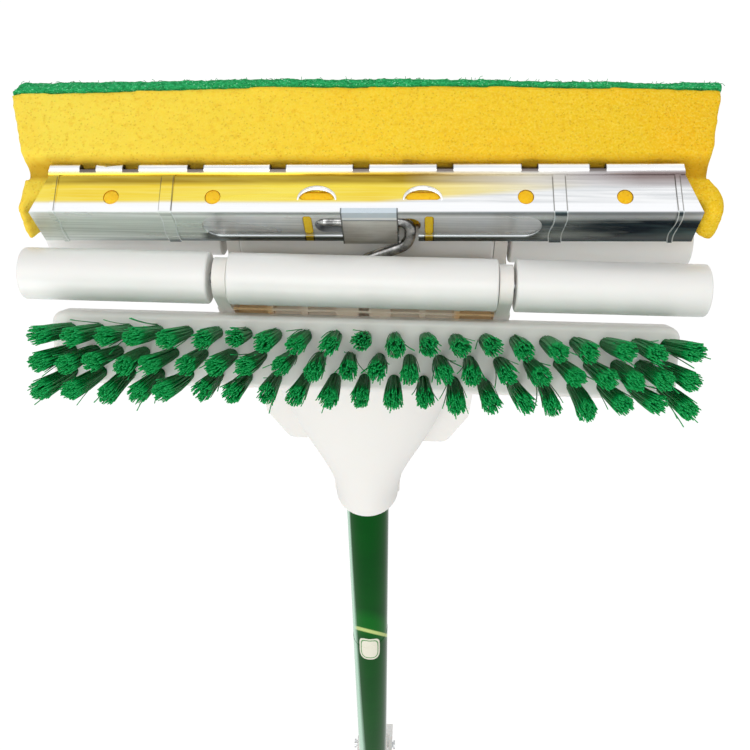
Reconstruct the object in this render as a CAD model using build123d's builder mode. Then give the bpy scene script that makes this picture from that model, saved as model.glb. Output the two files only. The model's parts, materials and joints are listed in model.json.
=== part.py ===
"""Roller sponge mop with a scrub brush, standing head up on the end of its handle.

Frame: +Z runs up the handle to the head, -Y is the brush side, +X is the right seen
from the brush side.  The origin is on the handle axis at the end face of the end cap.
Millimetres throughout.
"""
from build123d import *
from math import atan, cos, degrees, radians, sin, tan
import os

os.makedirs("parts", exist_ok=True)

# ---------------------------------------------------------------- driving dimensions
roller_z = 1250.0            # height of the front roller axle

# handle
tube_dia = 22.2
tube_wall = 0.8
tube_bottom_z = 34.0
tube_socket = 26.0           # how far the tube goes into the collar
cap_length = 46.0
hang_hole_dia = 9.0
hang_hole_z = 14.0
grip_bottom_z = 50.0
grip_length = 120.0
grip_dia = 28.0
label_wall = 0.15
label_top_z = roller_z - 318.0
label_length = 190.0

# rollers and their frame
roller_dia = 19.5
roller_edge = 0.9
outer_roller_length = 70.15
left_float = 1.8             # end play that the left rollers have taken up
right_float = 1.1
front_y = -17.0
rear_y = 15.4
rear_drop = 4.6              # the rear row stands this much nearer the handle
axle_dia = 4.0
running_gap = 0.07           # radial gap of a shaft in a plain bore
head_shift = 0.9             # rollers and frame sit this much off the handle axis
arm_x = 52.8
arm_width = 5.0
arm_radius = 7.8
centre_gap = 0.4
cap_recess_dia = 11.4
cap_recess_depth = 2.4

# housing
collar_end_z = roller_z - 166.0
collar_radius = 16.1
shell_top_z = roller_z - 34.0
shell_wall = 2.2
rear_step = 0.8              # the rear shell stands proud of the front one by this
bar_half = 56.2
bar_top_z = roller_z - 14.5

# brush
brush_tilt = 38.0            # the brush face looks up by this angle
brush_length = 239.7
brush_shift = 1.15           # the block sits this much off centre
brush_height = 28.3
brush_thickness = 9.0
brush_screw_grip = 6.0       # frame thickness under a brush screw head
brush_screw_spots = ((-45.0, 2.0), (45.0, 2.0))
screw_dia = 3.6
screw_head_dia = 7.2
brush_top = (-23.74, roller_z - 12.95)
tuft_pitch = 11.32
tuft_shift = 1.05            # places of the tufts on the block, from its middle
tuft_drop = 0.9
tuft_row_pitch = 8.2
tuft_root_dia = 4.4
tuft_tip_dia = 6.8
tuft_length = 27.0
tuft_root_depth = 4.0
upper_lean = 2.5             # outer rows lean apart by these angles
lower_lean = -5.0
end_fan = 6.0                # tufts at the two ends lean outward by this angle

# pull rod and hook
rod_y = -3.0
hook_dia = 4.4
hook_pin_z = roller_z + 17.8
hook_tip_x = -16.6
hook_bend_x = 18.0
hook_low_z = roller_z - 2.0
hook_offset_z = roller_z + 7.1
hook_tail_z = roller_z - 120.0
pull_rod_dia = 5.0
coupler_dia = 9.0
coupler_length = 34.0
slider_length = 26.0
rod_travel = 16.0            # the hook comes out by this much to change the refill

# lever
lever_z = roller_z - 640.0   # height of the cross pin at rest
lever_offset = 36.0          # cross pin axis to lever pivot axis
cross_pin_dia = 4.0
cross_pin_half = 17.0
pivot_pin_dia = 5.0
yoke_inside = 12.4
yoke_thickness = 3.4
yoke_height = 13.0
grip_start = 22.0
grip_end = 150.0
bracket_half_width = 11.9
bracket_height = 26.0

# sponge refill, laid out from the hook pin: "reach" away from the pin along the
# channel, "rise" square to that
refill_cock = 1.7            # the refill hangs askew on its loose hook
refill_rise = 14.2           # the channel points up by this angle
channel_half = 121.4
lip_half = 115.4             # the ends slant in towards the lips
base_half = 8.85
base_reach = -3.0            # outside of the channel base
channel_flare = 7.4
upper_lip = 13.8             # reach of the lips
lower_lip = 12.4
sheet = 0.8
bead_radius = 2.4
hem_radius = 1.0
dent_span = (-59.0, 65.8)    # long shallow dent pressed into the base
dent_rise = 6.4
dent_floor = -2.3
cradle_span = (-17.05, 21.9)  # the deeper pocket that the hook lies in
cradle_rise = 4.2
cradle_floor = 2.6
rib_raise = 0.35
clip_span = (-7.1, 13.6)
core_start = 3.8
sponge_core_half = 124.9
sponge_face_span = (-133.5, 130.6)
sponge_swell = (-126.0, 128.8)    # how far the ends swell out past the channel
face_reach = 44.0            # working face of the sponge
face_top = 21.1
face_bottom = -13.8
pad_thickness = 5.0
lip_pinch = 7.9              # the lips pinch the sponge to this, each side


def save(piece, name):
    """Label one finished piece and write it as its own STEP file."""
    piece.part.label = name
    export_step(piece.part, f"parts/{name}.step")


def across(x):
    """The section plane at x: sketch coordinates are Y and Z."""
    return Plane(origin=(x, 0, 0), x_dir=(0, 1, 0), z_dir=(1, 0, 0))


# ---------------------------------------------------------------- handle
tube_top_z = collar_end_z + tube_socket
slot_low_z = lever_z - cross_pin_dia / 2 - 1.0
slot_high_z = lever_z + rod_travel + cross_pin_dia / 2 + 1.0

with BuildPart() as handle_tube:
    with BuildSketch(Plane.XY.offset(tube_bottom_z)):
        Circle(tube_dia / 2)
        Circle(tube_dia / 2 - tube_wall, mode=Mode.SUBTRACT)
    extrude(amount=tube_top_z - tube_bottom_z)
    # two slots that the cross pin of the pull rod travels in
    with BuildSketch(Plane.YZ):
        with Locations((rod_y, (slot_low_z + slot_high_z) / 2)):
            SlotOverall(slot_high_z - slot_low_z, cross_pin_dia + 1.2, rotation=90)
    extrude(amount=tube_dia, both=True, mode=Mode.SUBTRACT)
save(handle_tube, "handle_tube")

with BuildPart() as end_cap:
    with BuildSketch(Plane.XY.offset(cap_length - 20)):
        Circle(tube_dia / 2 + 1.4)
    extrude(amount=20)
    # flat tab that tapers from the cap to the end face
    with BuildSketch(Plane.XY):
        RectangleRounded(17, 9, 2.5)
    with BuildSketch(Plane.XY.offset(cap_length - 20)):
        RectangleRounded(22.5, 15, 2.5)
    loft()
    # socket for the tube, with a plug left standing inside it
    with BuildSketch(Plane.XY.offset(tube_bottom_z)):
        Circle(tube_dia / 2)
        Circle(tube_dia / 2 - tube_wall, mode=Mode.SUBTRACT)
    extrude(amount=cap_length, mode=Mode.SUBTRACT)
    with Locations(Location((0, 0, hang_hole_z), (90, 0, 0))):
        Hole(hang_hole_dia / 2)
    fillet(end_cap.faces().sort_by(Axis.Z)[-1].outer_wire().edges(), 0.8)
save(end_cap, "end_cap")

with BuildPart() as hand_grip:
    with BuildSketch(Plane.XY.offset(grip_bottom_z)):
        Circle(grip_dia / 2)
        Circle(tube_dia / 2, mode=Mode.SUBTRACT)
    extrude(amount=grip_length)
    fillet(hand_grip.edges().filter_by(GeomType.CIRCLE).group_by(SortBy.RADIUS)[-1], 2.2)
    # finger rings
    ring_count = 9
    for ring in range(ring_count):
        ring_z = grip_bottom_z + grip_length * (ring + 1) / (ring_count + 1)
        with Locations((0, 0, ring_z)):
            Torus(grip_dia / 2 + 0.6, 1.8, mode=Mode.SUBTRACT)
save(hand_grip, "hand_grip")

with BuildPart() as label_sleeve:
    with BuildSketch(Plane.XY.offset(label_top_z - label_length)):
        Circle(tube_dia / 2 + label_wall)
        Circle(tube_dia / 2, mode=Mode.SUBTRACT)
    extrude(amount=label_length)
    # its upper edge runs round the tube on a slant
    slant_plane = Plane(origin=(0, 0, label_top_z - 8), z_dir=(-0.42, -0.25, 1))
    split(bisect_by=slant_plane, keep=Keep.BOTTOM)
save(label_sleeve, "label_sleeve")

# ---------------------------------------------------------------- roller frame
rear_axle_z = roller_z - rear_drop
tilt_cos = cos(radians(brush_tilt))
tilt_sin = sin(radians(brush_tilt))
brush_centre = Vector(
    brush_shift,
    brush_top[0] - brush_height / 2 * tilt_sin,
    brush_top[1] - brush_height / 2 * tilt_cos,
)
# sketch coordinates on the brush face: X, and up the slope
brush_face = Plane(origin=brush_centre, x_dir=(1, 0, 0), z_dir=(0, -tilt_cos, tilt_sin))

# back edges of the brush block, which the frame carries
block_back_top = (brush_top[0] + brush_thickness * tilt_cos, brush_top[1] - brush_thickness * tilt_sin)
seat_length = 25.0
seat_bottom = (block_back_top[0] - seat_length * tilt_sin, block_back_top[1] - seat_length * tilt_cos)

# pockets of the crossbar: place along X, width, length back from the front, depth
pocket_front_y = -17.8
pockets = [(0.2, 4.0, 6.0, 9.0)]
for side in (-1, 1):
    pockets += [(side * 43.6, 13.0, 34.0, 9.0)]
    pockets += [(side * 29.4, 11.0, 34.0, 5.0)]
    pockets += [(side * 16.0, 11.0, 34.0, 5.0)]

with BuildPart() as roller_frame:
    # crossbar, with the slanted seat of the brush block at its front
    with BuildSketch(across(head_shift - bar_half)):
        with BuildLine():
            Polyline(
                (block_back_top[0] - 1.7, bar_top_z),
                block_back_top,
                seat_bottom,
                (seat_bottom[0] + 5, seat_bottom[1] - 2.5),
                (-15.0, shell_top_z),
                (rear_y + 6.5, shell_top_z),
                (rear_y + 6.5, bar_top_z),
                close=True,
            )
        make_face()
    extrude(amount=2 * bar_half)
    # a front and a rear arm at each side, one profile for both
    for side in (-1, 1):
        with BuildSketch(across(head_shift + side * arm_x - arm_width / 2)):
            with Locations((front_y, roller_z), (rear_y, rear_axle_z)):
                Circle(arm_radius)
            with BuildLine():
                Polyline(
                    (front_y - 7.2, roller_z - 3.0),
                    (-19.4, roller_z - 13.8),
                    (block_back_top[0] - 1.5, bar_top_z - 0.5),
                    (front_y + arm_radius, bar_top_z - 0.5),
                    (front_y + arm_radius, roller_z),
                    (front_y, roller_z + 2.0),
                    close=True,
                )
            make_face()
            with BuildLine():
                Polyline(
                    (rear_y - arm_radius, rear_axle_z),
                    (rear_y - arm_radius, bar_top_z - 0.5),
                    (rear_y + 6.5, bar_top_z - 0.5),
                    (rear_y + arm_radius, rear_axle_z - 2.0),
                    (rear_y, rear_axle_z + 2.0),
                    close=True,
                )
            make_face()
        extrude(amount=arm_width)
    # axle holes through all the arms
    with BuildSketch(across(head_shift - bar_half)):
        with Locations((front_y, roller_z), (rear_y, rear_axle_z)):
            Circle(axle_dia / 2)
    extrude(amount=2 * bar_half, mode=Mode.SUBTRACT)
    # pockets that lighten the bar, open towards the brush
    for pocket_x, pocket_width, pocket_length, pocket_depth in pockets:
        with BuildSketch(Plane.XY.offset(bar_top_z)):
            with Locations((head_shift + pocket_x, pocket_front_y + pocket_length / 2)):
                Rectangle(pocket_width, pocket_length)
        extrude(amount=-pocket_depth, mode=Mode.SUBTRACT)
    # holes for the two screws that hold the brush block, open from below
    for hole_dia, hole_start in ((screw_dia, 0.0), (screw_head_dia + 0.4, brush_screw_grip)):
        with BuildSketch(brush_face.offset(-brush_thickness - hole_start)):
            with Locations(*brush_screw_spots):
                Circle(hole_dia / 2)
        extrude(amount=-40, mode=Mode.SUBTRACT)
    # seat of the rod guide
    with Locations((0, rod_y, bar_top_z)):
        CounterBoreHole(4.0, 6.0, 2.0)
save(roller_frame, "roller_frame")

with BuildPart() as rod_guide:
    with BuildSketch(Plane.XY.offset(bar_top_z - 2.0)):
        with Locations((0, rod_y)):
            Circle(6.0)
    extrude(amount=3.0)
    with BuildSketch(Plane.XY.offset(shell_top_z)):
        with Locations((0, rod_y)):
            Circle(4.0)
    extrude(amount=bar_top_z - 2.0 - shell_top_z)
    fillet(rod_guide.edges().group_by(Axis.Z)[-1], 0.8)
    with Locations((0, rod_y, bar_top_z + 1.0)):
        Hole(hook_dia / 2 + running_gap)
save(rod_guide, "rod_guide")

# ---------------------------------------------------------------- axles and rollers
axle_half = 126.0
for axle_name, axle_y, axle_z in (
    ("front_axle", front_y, roller_z),
    ("rear_axle", rear_y, rear_axle_z),
):
    with BuildPart() as axle:
        with BuildSketch(across(head_shift - axle_half)):
            with Locations((axle_y, axle_z)):
                Circle(axle_dia / 2)
        extrude(amount=2 * axle_half)
        chamfer(axle.edges().filter_by(GeomType.CIRCLE), 0.4)
    save(axle, axle_name)

arm_outside = arm_x + arm_width / 2
centre_half = arm_x - arm_width / 2 - centre_gap
roller_spans = (
    ("left", head_shift - arm_outside - left_float - outer_roller_length, outer_roller_length, -1),
    ("centre", head_shift - centre_half, 2 * centre_half, 0),
    ("right", head_shift + arm_outside + right_float, outer_roller_length, 1),
)
for row, row_y, row_z in (("front", front_y, roller_z), ("rear", rear_y, rear_axle_z)):
    for place, start_x, length, outer_side in roller_spans:
        with BuildPart() as roller:
            with BuildSketch(across(start_x)):
                with Locations((row_y, row_z)):
                    Circle(roller_dia / 2)
            extrude(amount=length)
            fillet(roller.edges().filter_by(GeomType.CIRCLE), roller_edge)
            with BuildSketch(across(start_x)):
                with Locations((row_y, row_z)):
                    Circle(axle_dia / 2 + running_gap)
            extrude(amount=length, mode=Mode.SUBTRACT)
            if outer_side:
                # recess in the outer end for the axle cap
                end_x = start_x if outer_side < 0 else start_x + length
                with BuildSketch(across(end_x)):
                    with Locations((row_y, row_z)):
                        Circle(cap_recess_dia / 2 + 0.4)
                extrude(amount=-outer_side * cap_recess_depth, mode=Mode.SUBTRACT)
        save(roller, f"{row}_roller_{place}")

# domed caps pressed on the four axle ends, standing in the recesses of the rollers
with BuildPart() as axle_caps:
    for row_y, row_z in ((front_y, roller_z), (rear_y, rear_axle_z)):
        for side, span in ((-1, roller_spans[0]), (1, roller_spans[2])):
            outer_end = span[1] if side < 0 else span[1] + span[2]
            inner_face = outer_end - side * (cap_recess_depth - 0.3)
            with BuildSketch(across(inner_face)):
                with Locations((row_y, row_z)):
                    Circle(cap_recess_dia / 2)
            extrude(amount=side * 3.0)
    outer_rims = axle_caps.edges().filter_by(GeomType.CIRCLE).group_by(Axis.X)
    fillet(outer_rims[0] + outer_rims[-1], 2.0)
    for row_y, row_z in ((front_y, roller_z), (rear_y, rear_axle_z)):
        with BuildSketch(across(head_shift - axle_half)):
            with Locations((row_y, row_z)):
                Circle(axle_dia / 2)
        extrude(amount=2 * axle_half, mode=Mode.SUBTRACT)
save(axle_caps, "axle_caps")

# ---------------------------------------------------------------- housing shells
# half width and half depth of the fan at stations measured down from the rollers
fan_stations = (
    (166.0, collar_radius, collar_radius),
    (150.0, 16.4, 16.2),
    (137.0, 19.6, 15.8),
    (120.0, 26.2, 15.4),
    (92.0, 35.6, 15.0),
    (60.0, 46.0, 15.0),
    (34.0, 54.0, 15.0),
)
screw_spots = (
    (-26.0, roller_z - 62.0),
    (26.0, roller_z - 62.0),
    (-14.5, roller_z - 104.0),
    (14.5, roller_z - 104.0),
)
boss_radius = 4.6
screw_reach = 10.0
wing_back_y = 13.6
wing_thickness = 2.6
wing_half = 49.0
wing_foot_half = 39.0
wing_low_z = roller_z - 135.0


def fan(grow):
    """The housing as one solid, its sides moved out by grow."""
    with BuildPart() as solid:
        for drop, half_width, half_depth in fan_stations:
            with BuildSketch(Plane.XY.offset(roller_z - drop)):
                Ellipse(half_width + grow, half_depth + grow + 0.01)
        loft()
        fillet(solid.edges().group_by(Axis.Z)[0], 3.4)
    return solid.part


def hollow():
    """The space inside the housing, above the tube socket."""
    with BuildPart() as space:
        add(fan(-shell_wall))
        split(bisect_by=Plane.XY.offset(tube_top_z + 2.0), keep=Keep.TOP)
    return space.part


def bosses(grow):
    """Screw bosses, cut off at the outside of the housing."""
    with BuildPart() as posts:
        with BuildSketch(Plane.XZ):
            with Locations(*screw_spots):
                Circle(boss_radius)
        extrude(amount=2 * collar_radius, both=True)
        add(fan(grow), mode=Mode.INTERSECT)
    return posts.part


def socket_and_screw_holes():
    """Everything bored out of both shells: the tube socket and the screw holes."""
    with BuildPart() as bores:
        with BuildSketch(Plane.XY.offset(collar_end_z)):
            Circle(tube_dia / 2)
        extrude(amount=tube_socket + 2.5)
        with BuildSketch(Plane.XZ.offset(screw_reach)):
            with Locations(*screw_spots):
                Circle(screw_dia / 2)
        extrude(amount=-screw_reach - 2 * collar_radius)
        with BuildSketch(Plane.XZ.offset(-screw_head_y)):
            with Locations(*screw_spots):
                Circle(screw_head_dia / 2)
        extrude(amount=-2 * collar_radius)
    return bores.part


screw_head_y = 10.6
with BuildPart() as front_shell:
    add(fan(0.0))
    add(hollow(), mode=Mode.SUBTRACT)
    add(bosses(0.0))
    add(socket_and_screw_holes(), mode=Mode.SUBTRACT)
    split(bisect_by=Plane.XZ, keep=Keep.TOP)
save(front_shell, "front_shell")

with BuildPart() as rear_shell:
    add(fan(rear_step))
    # wings that steady the crossbar from behind
    with BuildSketch(Plane.XZ.offset(-wing_back_y)):
        with BuildLine():
            Polyline(
                (-wing_half - 3, shell_top_z),
                (-wing_half, wing_low_z + 21),
                (-wing_foot_half, wing_low_z),
                (wing_foot_half, wing_low_z),
                (wing_half, wing_low_z + 21),
                (wing_half + 3, shell_top_z),
                close=True,
            )
        wing_outline = make_face()
        fillet(wing_outline.vertices().group_by(Axis.Y)[0], 4.5)
    extrude(amount=wing_thickness)
    add(hollow(), mode=Mode.SUBTRACT)
    add(bosses(rear_step))
    add(socket_and_screw_holes(), mode=Mode.SUBTRACT)
    split(bisect_by=Plane.XZ, keep=Keep.BOTTOM)
save(rear_shell, "rear_shell")

# pan head screws driven from the back, through the rear shell into the front one
with BuildPart() as shell_screws:
    with BuildSketch(Plane.XZ.offset(screw_reach)):
        with Locations(*screw_spots):
            Circle(screw_dia / 2)
    extrude(amount=-screw_reach - screw_head_y)
    with BuildSketch(Plane.XZ.offset(-screw_head_y)):
        with Locations(*screw_spots):
            Circle(screw_head_dia / 2)
    extrude(amount=-2.6)
    fillet(shell_screws.edges().group_by(Axis.Y)[-1], 0.9)
    with BuildSketch(Plane.XZ.offset(-screw_head_y - 2.6)):
        with Locations(*screw_spots):
            Rectangle(4.2, 0.9)
            Rectangle(0.9, 4.2)
    extrude(amount=1.6, mode=Mode.SUBTRACT)
save(shell_screws, "shell_screws")

# ---------------------------------------------------------------- brush
# name, rise on the face, lean and places of each row; the middle row is staggered and
# closes up towards the ends
half_span = 10 * tuft_pitch
straight_columns = [tuft_shift + column * tuft_pitch for column in range(-10, 11)]
middle_columns = [tuft_shift + (column + 0.5) * tuft_pitch for column in range(-8, 8)]
for closing in (0.9, 1.7, half_span / tuft_pitch - 7.5):
    middle_columns += [tuft_shift + side * (7.5 + closing) * tuft_pitch for side in (-1, 1)]
tuft_rows = (
    ("upper", tuft_row_pitch - tuft_drop, upper_lean, straight_columns),
    ("middle", -tuft_drop, 0.0, middle_columns),
    ("lower", -tuft_row_pitch - tuft_drop, lower_lean, straight_columns),
)

with BuildPart() as brush_block:
    with BuildSketch(brush_face):
        RectangleRounded(brush_length, brush_height, 4.8)
    extrude(amount=-brush_thickness)
    fillet(brush_block.faces().sort_by(Axis((0, 0, 0), brush_face.z_dir))[-1].edges(), 2.2)
    # tuft holes
    with BuildSketch(brush_face):
        with Locations(*[(x, row[1]) for row in tuft_rows for x in row[3]]):
            Circle(tuft_root_dia / 2)
    extrude(amount=-tuft_root_depth, mode=Mode.SUBTRACT)
    # two pilot holes from the back for the screws that hold the block on its seat
    with BuildSketch(brush_face.offset(-brush_thickness)):
        with Locations(*brush_screw_spots):
            Circle(screw_dia / 2)
    extrude(amount=4.4, mode=Mode.SUBTRACT)
save(brush_block, "brush_block")

for row_name, row_rise, lean, columns in tuft_rows:
    with BuildPart() as tufts:
        with BuildSketch(brush_face.offset(-tuft_root_depth)):
            with Locations(*[(x, row_rise) for x in columns]):
                Circle(tuft_root_dia / 2)
        extrude(amount=tuft_root_depth + 0.9)
        for x in columns:
            out_angle = radians(end_fan * x / half_span)
            up_angle = radians(brush_tilt + lean)
            direction = Vector(
                sin(out_angle),
                -cos(out_angle) * cos(up_angle),
                cos(out_angle) * sin(up_angle),
            )
            root = brush_face.from_local_coords((x, row_rise, 0.5))
            with Locations(Plane(origin=root, x_dir=(1, 0, 0), z_dir=direction)):
                Cone(
                    tuft_root_dia / 2 + 0.25,
                    tuft_tip_dia / 2,
                    tuft_length,
                    align=(Align.CENTER, Align.CENTER, Align.MIN),
                )
    save(tufts, f"bristles_{row_name}_row")

with BuildPart() as brush_screws:
    # driven from under the crossbar through its seat into the block
    with BuildSketch(brush_face.offset(-brush_thickness + 4.4)):
        with Locations(*brush_screw_spots):
            Circle(screw_dia / 2)
    extrude(amount=-4.4 - brush_screw_grip)
    with BuildSketch(brush_face.offset(-brush_thickness - brush_screw_grip)):
        with Locations(*brush_screw_spots):
            Circle(screw_head_dia / 2)
    extrude(amount=-2.4)
save(brush_screws, "brush_screws")

# ---------------------------------------------------------------- pull rod and hook
pin_slope = tan(radians(refill_cock))
with BuildPart() as hook_rod:
    with BuildLine(Plane.XZ.offset(-rod_y)):
        hook_line = FilletPolyline(
            (0, hook_tail_z),
            (0, hook_low_z),
            (hook_bend_x, hook_offset_z),
            (hook_bend_x, hook_pin_z + hook_bend_x * pin_slope),
            (hook_tip_x, hook_pin_z + hook_tip_x * pin_slope),
            radius=(5.0, 7.0, 4.8),
        )
    with BuildSketch(Plane(origin=hook_line @ 0, z_dir=hook_line % 0)):
        Circle(hook_dia / 2)
    sweep(transition=Transition.ROUND)
    # the free end is pointed to find its way into the clip
    chamfer(hook_rod.edges().group_by(Axis.X)[0], length=2.6, length2=0.9)
save(hook_rod, "hook_rod")

coupler_low_z = hook_tail_z - coupler_length / 2
with BuildPart() as rod_coupler:
    with BuildSketch(Plane.XY.offset(coupler_low_z)):
        with Locations((0, rod_y)):
            Circle(coupler_dia / 2)
    extrude(amount=coupler_length)
    fillet(rod_coupler.edges().filter_by(GeomType.CIRCLE), 1.0)
    with BuildSketch(Plane.XY.offset(coupler_low_z)):
        with Locations((0, rod_y)):
            Circle(pull_rod_dia / 2)
    extrude(amount=coupler_length / 2, mode=Mode.SUBTRACT)
    with BuildSketch(Plane.XY.offset(hook_tail_z)):
        with Locations((0, rod_y)):
            Circle(hook_dia / 2)
    extrude(amount=coupler_length / 2, mode=Mode.SUBTRACT)
save(rod_coupler, "rod_coupler")

slider_low_z = lever_z - slider_length / 2
with BuildPart() as pull_rod:
    with BuildSketch(Plane.XY.offset(lever_z + 4.0)):
        with Locations((0, rod_y)):
            Circle(pull_rod_dia / 2)
    extrude(amount=hook_tail_z - lever_z - 4.0)
save(pull_rod, "pull_rod")

# runs in the handle tube and carries the cross pin
with BuildPart() as rod_slider:
    with BuildSketch(Plane.XY.offset(slider_low_z)):
        Circle(tube_dia / 2 - tube_wall - running_gap - 0.03)
    extrude(amount=slider_length)
    chamfer(rod_slider.edges().filter_by(GeomType.CIRCLE), 1.0)
    with BuildSketch(Plane.XY.offset(lever_z + 4.0)):
        with Locations((0, rod_y)):
            Circle(pull_rod_dia / 2)
    extrude(amount=slider_length, mode=Mode.SUBTRACT)
    with BuildSketch(Plane.YZ):
        with Locations((rod_y, lever_z)):
            Circle(cross_pin_dia / 2)
    extrude(amount=tube_dia, both=True, mode=Mode.SUBTRACT)
save(rod_slider, "rod_slider")

with BuildPart() as cross_pin:
    with BuildSketch(across(-cross_pin_half)):
        with Locations((rod_y, lever_z)):
            Circle(cross_pin_dia / 2)
    extrude(amount=2 * cross_pin_half)
    chamfer(cross_pin.edges().filter_by(GeomType.CIRCLE), 0.5)
save(cross_pin, "cross_pin")

# ---------------------------------------------------------------- lever
pivot_y = rod_y + lever_offset
pivot_z = lever_z + rod_travel / 2
half_swing = degrees(atan(rod_travel / 2 / lever_offset))
grip_angle = -90.0 + 2 * half_swing       # the grip lies along the tube once swung home
arm_angle = 180.0 + half_swing - grip_angle
arm_reach = (lever_offset + lever_offset / cos(radians(half_swing))) / 2
arm_slack = lever_offset / cos(radians(half_swing)) - lever_offset


def lever_section(x):
    """Plane at x whose sketch X runs from the pivot along the grip."""
    along = (0, cos(radians(grip_angle)), sin(radians(grip_angle)))
    return Plane(origin=(x, pivot_y, pivot_z), x_dir=along, z_dir=(1, 0, 0))


with BuildPart() as lever_bracket:
    with BuildSketch(across(-bracket_half_width)):
        with Locations(((tube_dia / 2 + pivot_y) / 2, pivot_z)):
            Rectangle(pivot_y - tube_dia / 2, bracket_height)
        with Locations((pivot_y, pivot_z)):
            Circle(6.0)
        with Locations((4.0, pivot_z)):
            Rectangle(18.0, bracket_height)
    extrude(amount=2 * bracket_half_width)
    fillet(lever_bracket.edges().filter_by(Axis.X).group_by(Axis.Y)[0], 2.0)
    # its seat on the tube
    with BuildSketch(Plane.XY.offset(pivot_z - bracket_height)):
        Circle(tube_dia / 2)
        with Locations((0, -tube_dia / 2)):
            Rectangle(4 * bracket_half_width, tube_dia)
    extrude(amount=2 * bracket_height, mode=Mode.SUBTRACT)
    with BuildSketch(across(-bracket_half_width)):
        with Locations((pivot_y, pivot_z)):
            Circle(pivot_pin_dia / 2)
    extrude(amount=2 * bracket_half_width, mode=Mode.SUBTRACT)
save(lever_bracket, "lever_bracket")

with BuildPart() as lever:
    for side in (-1, 1):
        with BuildSketch(lever_section(side * yoke_inside)):
            with Locations((grip_start / 2 + 4, 0)):
                SlotOverall(grip_start + 8 + yoke_height, yoke_height)
            with PolarLocations(arm_reach / 2, 1, start_angle=arm_angle):
                SlotOverall(arm_reach + yoke_height, yoke_height)
        extrude(amount=side * yoke_thickness)
    # grip, a flat paddle that joins the two cheeks
    half_width = yoke_inside + yoke_thickness
    with BuildSketch(lever_section(-half_width)):
        with Locations(((grip_start + grip_end) / 2, 0)):
            SlotOverall(grip_end - grip_start, 11.0)
    extrude(amount=2 * half_width)
    # pivot bores and the slots for the cross pin
    with BuildSketch(lever_section(-half_width)):
        Circle(pivot_pin_dia / 2 + running_gap)
        with PolarLocations(arm_reach, 1, start_angle=arm_angle):
            SlotOverall(cross_pin_dia + arm_slack + 1.4, cross_pin_dia + 1.0)
    extrude(amount=2 * half_width, mode=Mode.SUBTRACT)
save(lever, "lever")

with BuildPart() as lever_pivot:
    with BuildSketch(across(-cross_pin_half)):
        with Locations((pivot_y, pivot_z)):
            Circle(pivot_pin_dia / 2)
    extrude(amount=2 * cross_pin_half)
    for side in (-1, 1):
        with BuildSketch(across(side * cross_pin_half)):
            with Locations((pivot_y, pivot_z)):
                Circle(pivot_pin_dia / 2 + 1.4)
        extrude(amount=side * 1.6)
save(lever_pivot, "lever_pivot")

# ---------------------------------------------------------------- sponge refill
pin_axis = Vector(cos(radians(refill_cock)), 0, sin(radians(refill_cock)))
square_up = Vector(-sin(radians(refill_cock)), 0, cos(radians(refill_cock)))
reach_dir = Vector(0, 1, 0) * cos(radians(refill_rise)) + square_up * sin(radians(refill_rise))
pin_centre = Vector(0, rod_y, hook_pin_z)


def refill_section(x):
    """Section of the refill at x along the pin: sketch X is reach, sketch Y is rise."""
    return Plane(origin=pin_centre + pin_axis * x, x_dir=reach_dir, z_dir=pin_axis)


def refill_front(reach):
    """Plane square to the reach: sketch X runs along the pin, sketch Y is rise."""
    return Plane(origin=pin_centre + reach_dir * reach, x_dir=pin_axis, z_dir=-reach_dir)


# sketch X runs along the pin, sketch Y is reach
refill_plan = Plane(origin=pin_centre, x_dir=pin_axis, z_dir=pin_axis.cross(reach_dir))
under_upper_wall = refill_plan.offset(7.4)


def wall_rise(reach, grow=0.0):
    """Rise of the flared wall, moved out by grow, at some reach."""
    flare = radians(channel_flare)
    return base_half + (reach - base_reach) * tan(flare) + grow / cos(flare)


def channel_ring(inner, outer, low_reach, high_reach):
    """Strip that follows the outside of the channel between two offsets from it."""
    points = [(low_reach, -wall_rise(low_reach, outer))]
    points += [(base_reach - outer, -wall_rise(base_reach - outer, outer))]
    points += [(base_reach - outer, wall_rise(base_reach - outer, outer))]
    points += [(high_reach, wall_rise(high_reach, outer))]
    points += [(high_reach, wall_rise(high_reach, inner))]
    points += [(base_reach - inner, wall_rise(base_reach - inner, inner))]
    points += [(base_reach - inner, -wall_rise(base_reach - inner, inner))]
    points += [(low_reach, -wall_rise(low_reach, inner))]
    return points


def sheet_strip(start_x, length, inner, outer, low_reach, high_reach):
    """A strip of sheet bent round the channel, as a piece of its own."""
    with BuildPart() as strip:
        with BuildSketch(refill_section(start_x)):
            with BuildLine():
                Polyline(*channel_ring(inner, outer, low_reach, high_reach), close=True)
            make_face()
        extrude(amount=length)
    return strip.part


notch_places = (-101.0, -85.0, -60.8, -30.4, 0.0, 30.4, 60.8, 85.0)
round_holes = (-91.5, -53.9, 59.3, 94.3)
round_hole_dia = 5.8
lances = (-15.8, 22.5)
base_slots = (-19.65, 24.9)
ribs = ((-71.0, 4.6), (71.5, 4.6), (-113.0, 2.0), (113.3, 2.0))

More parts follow.
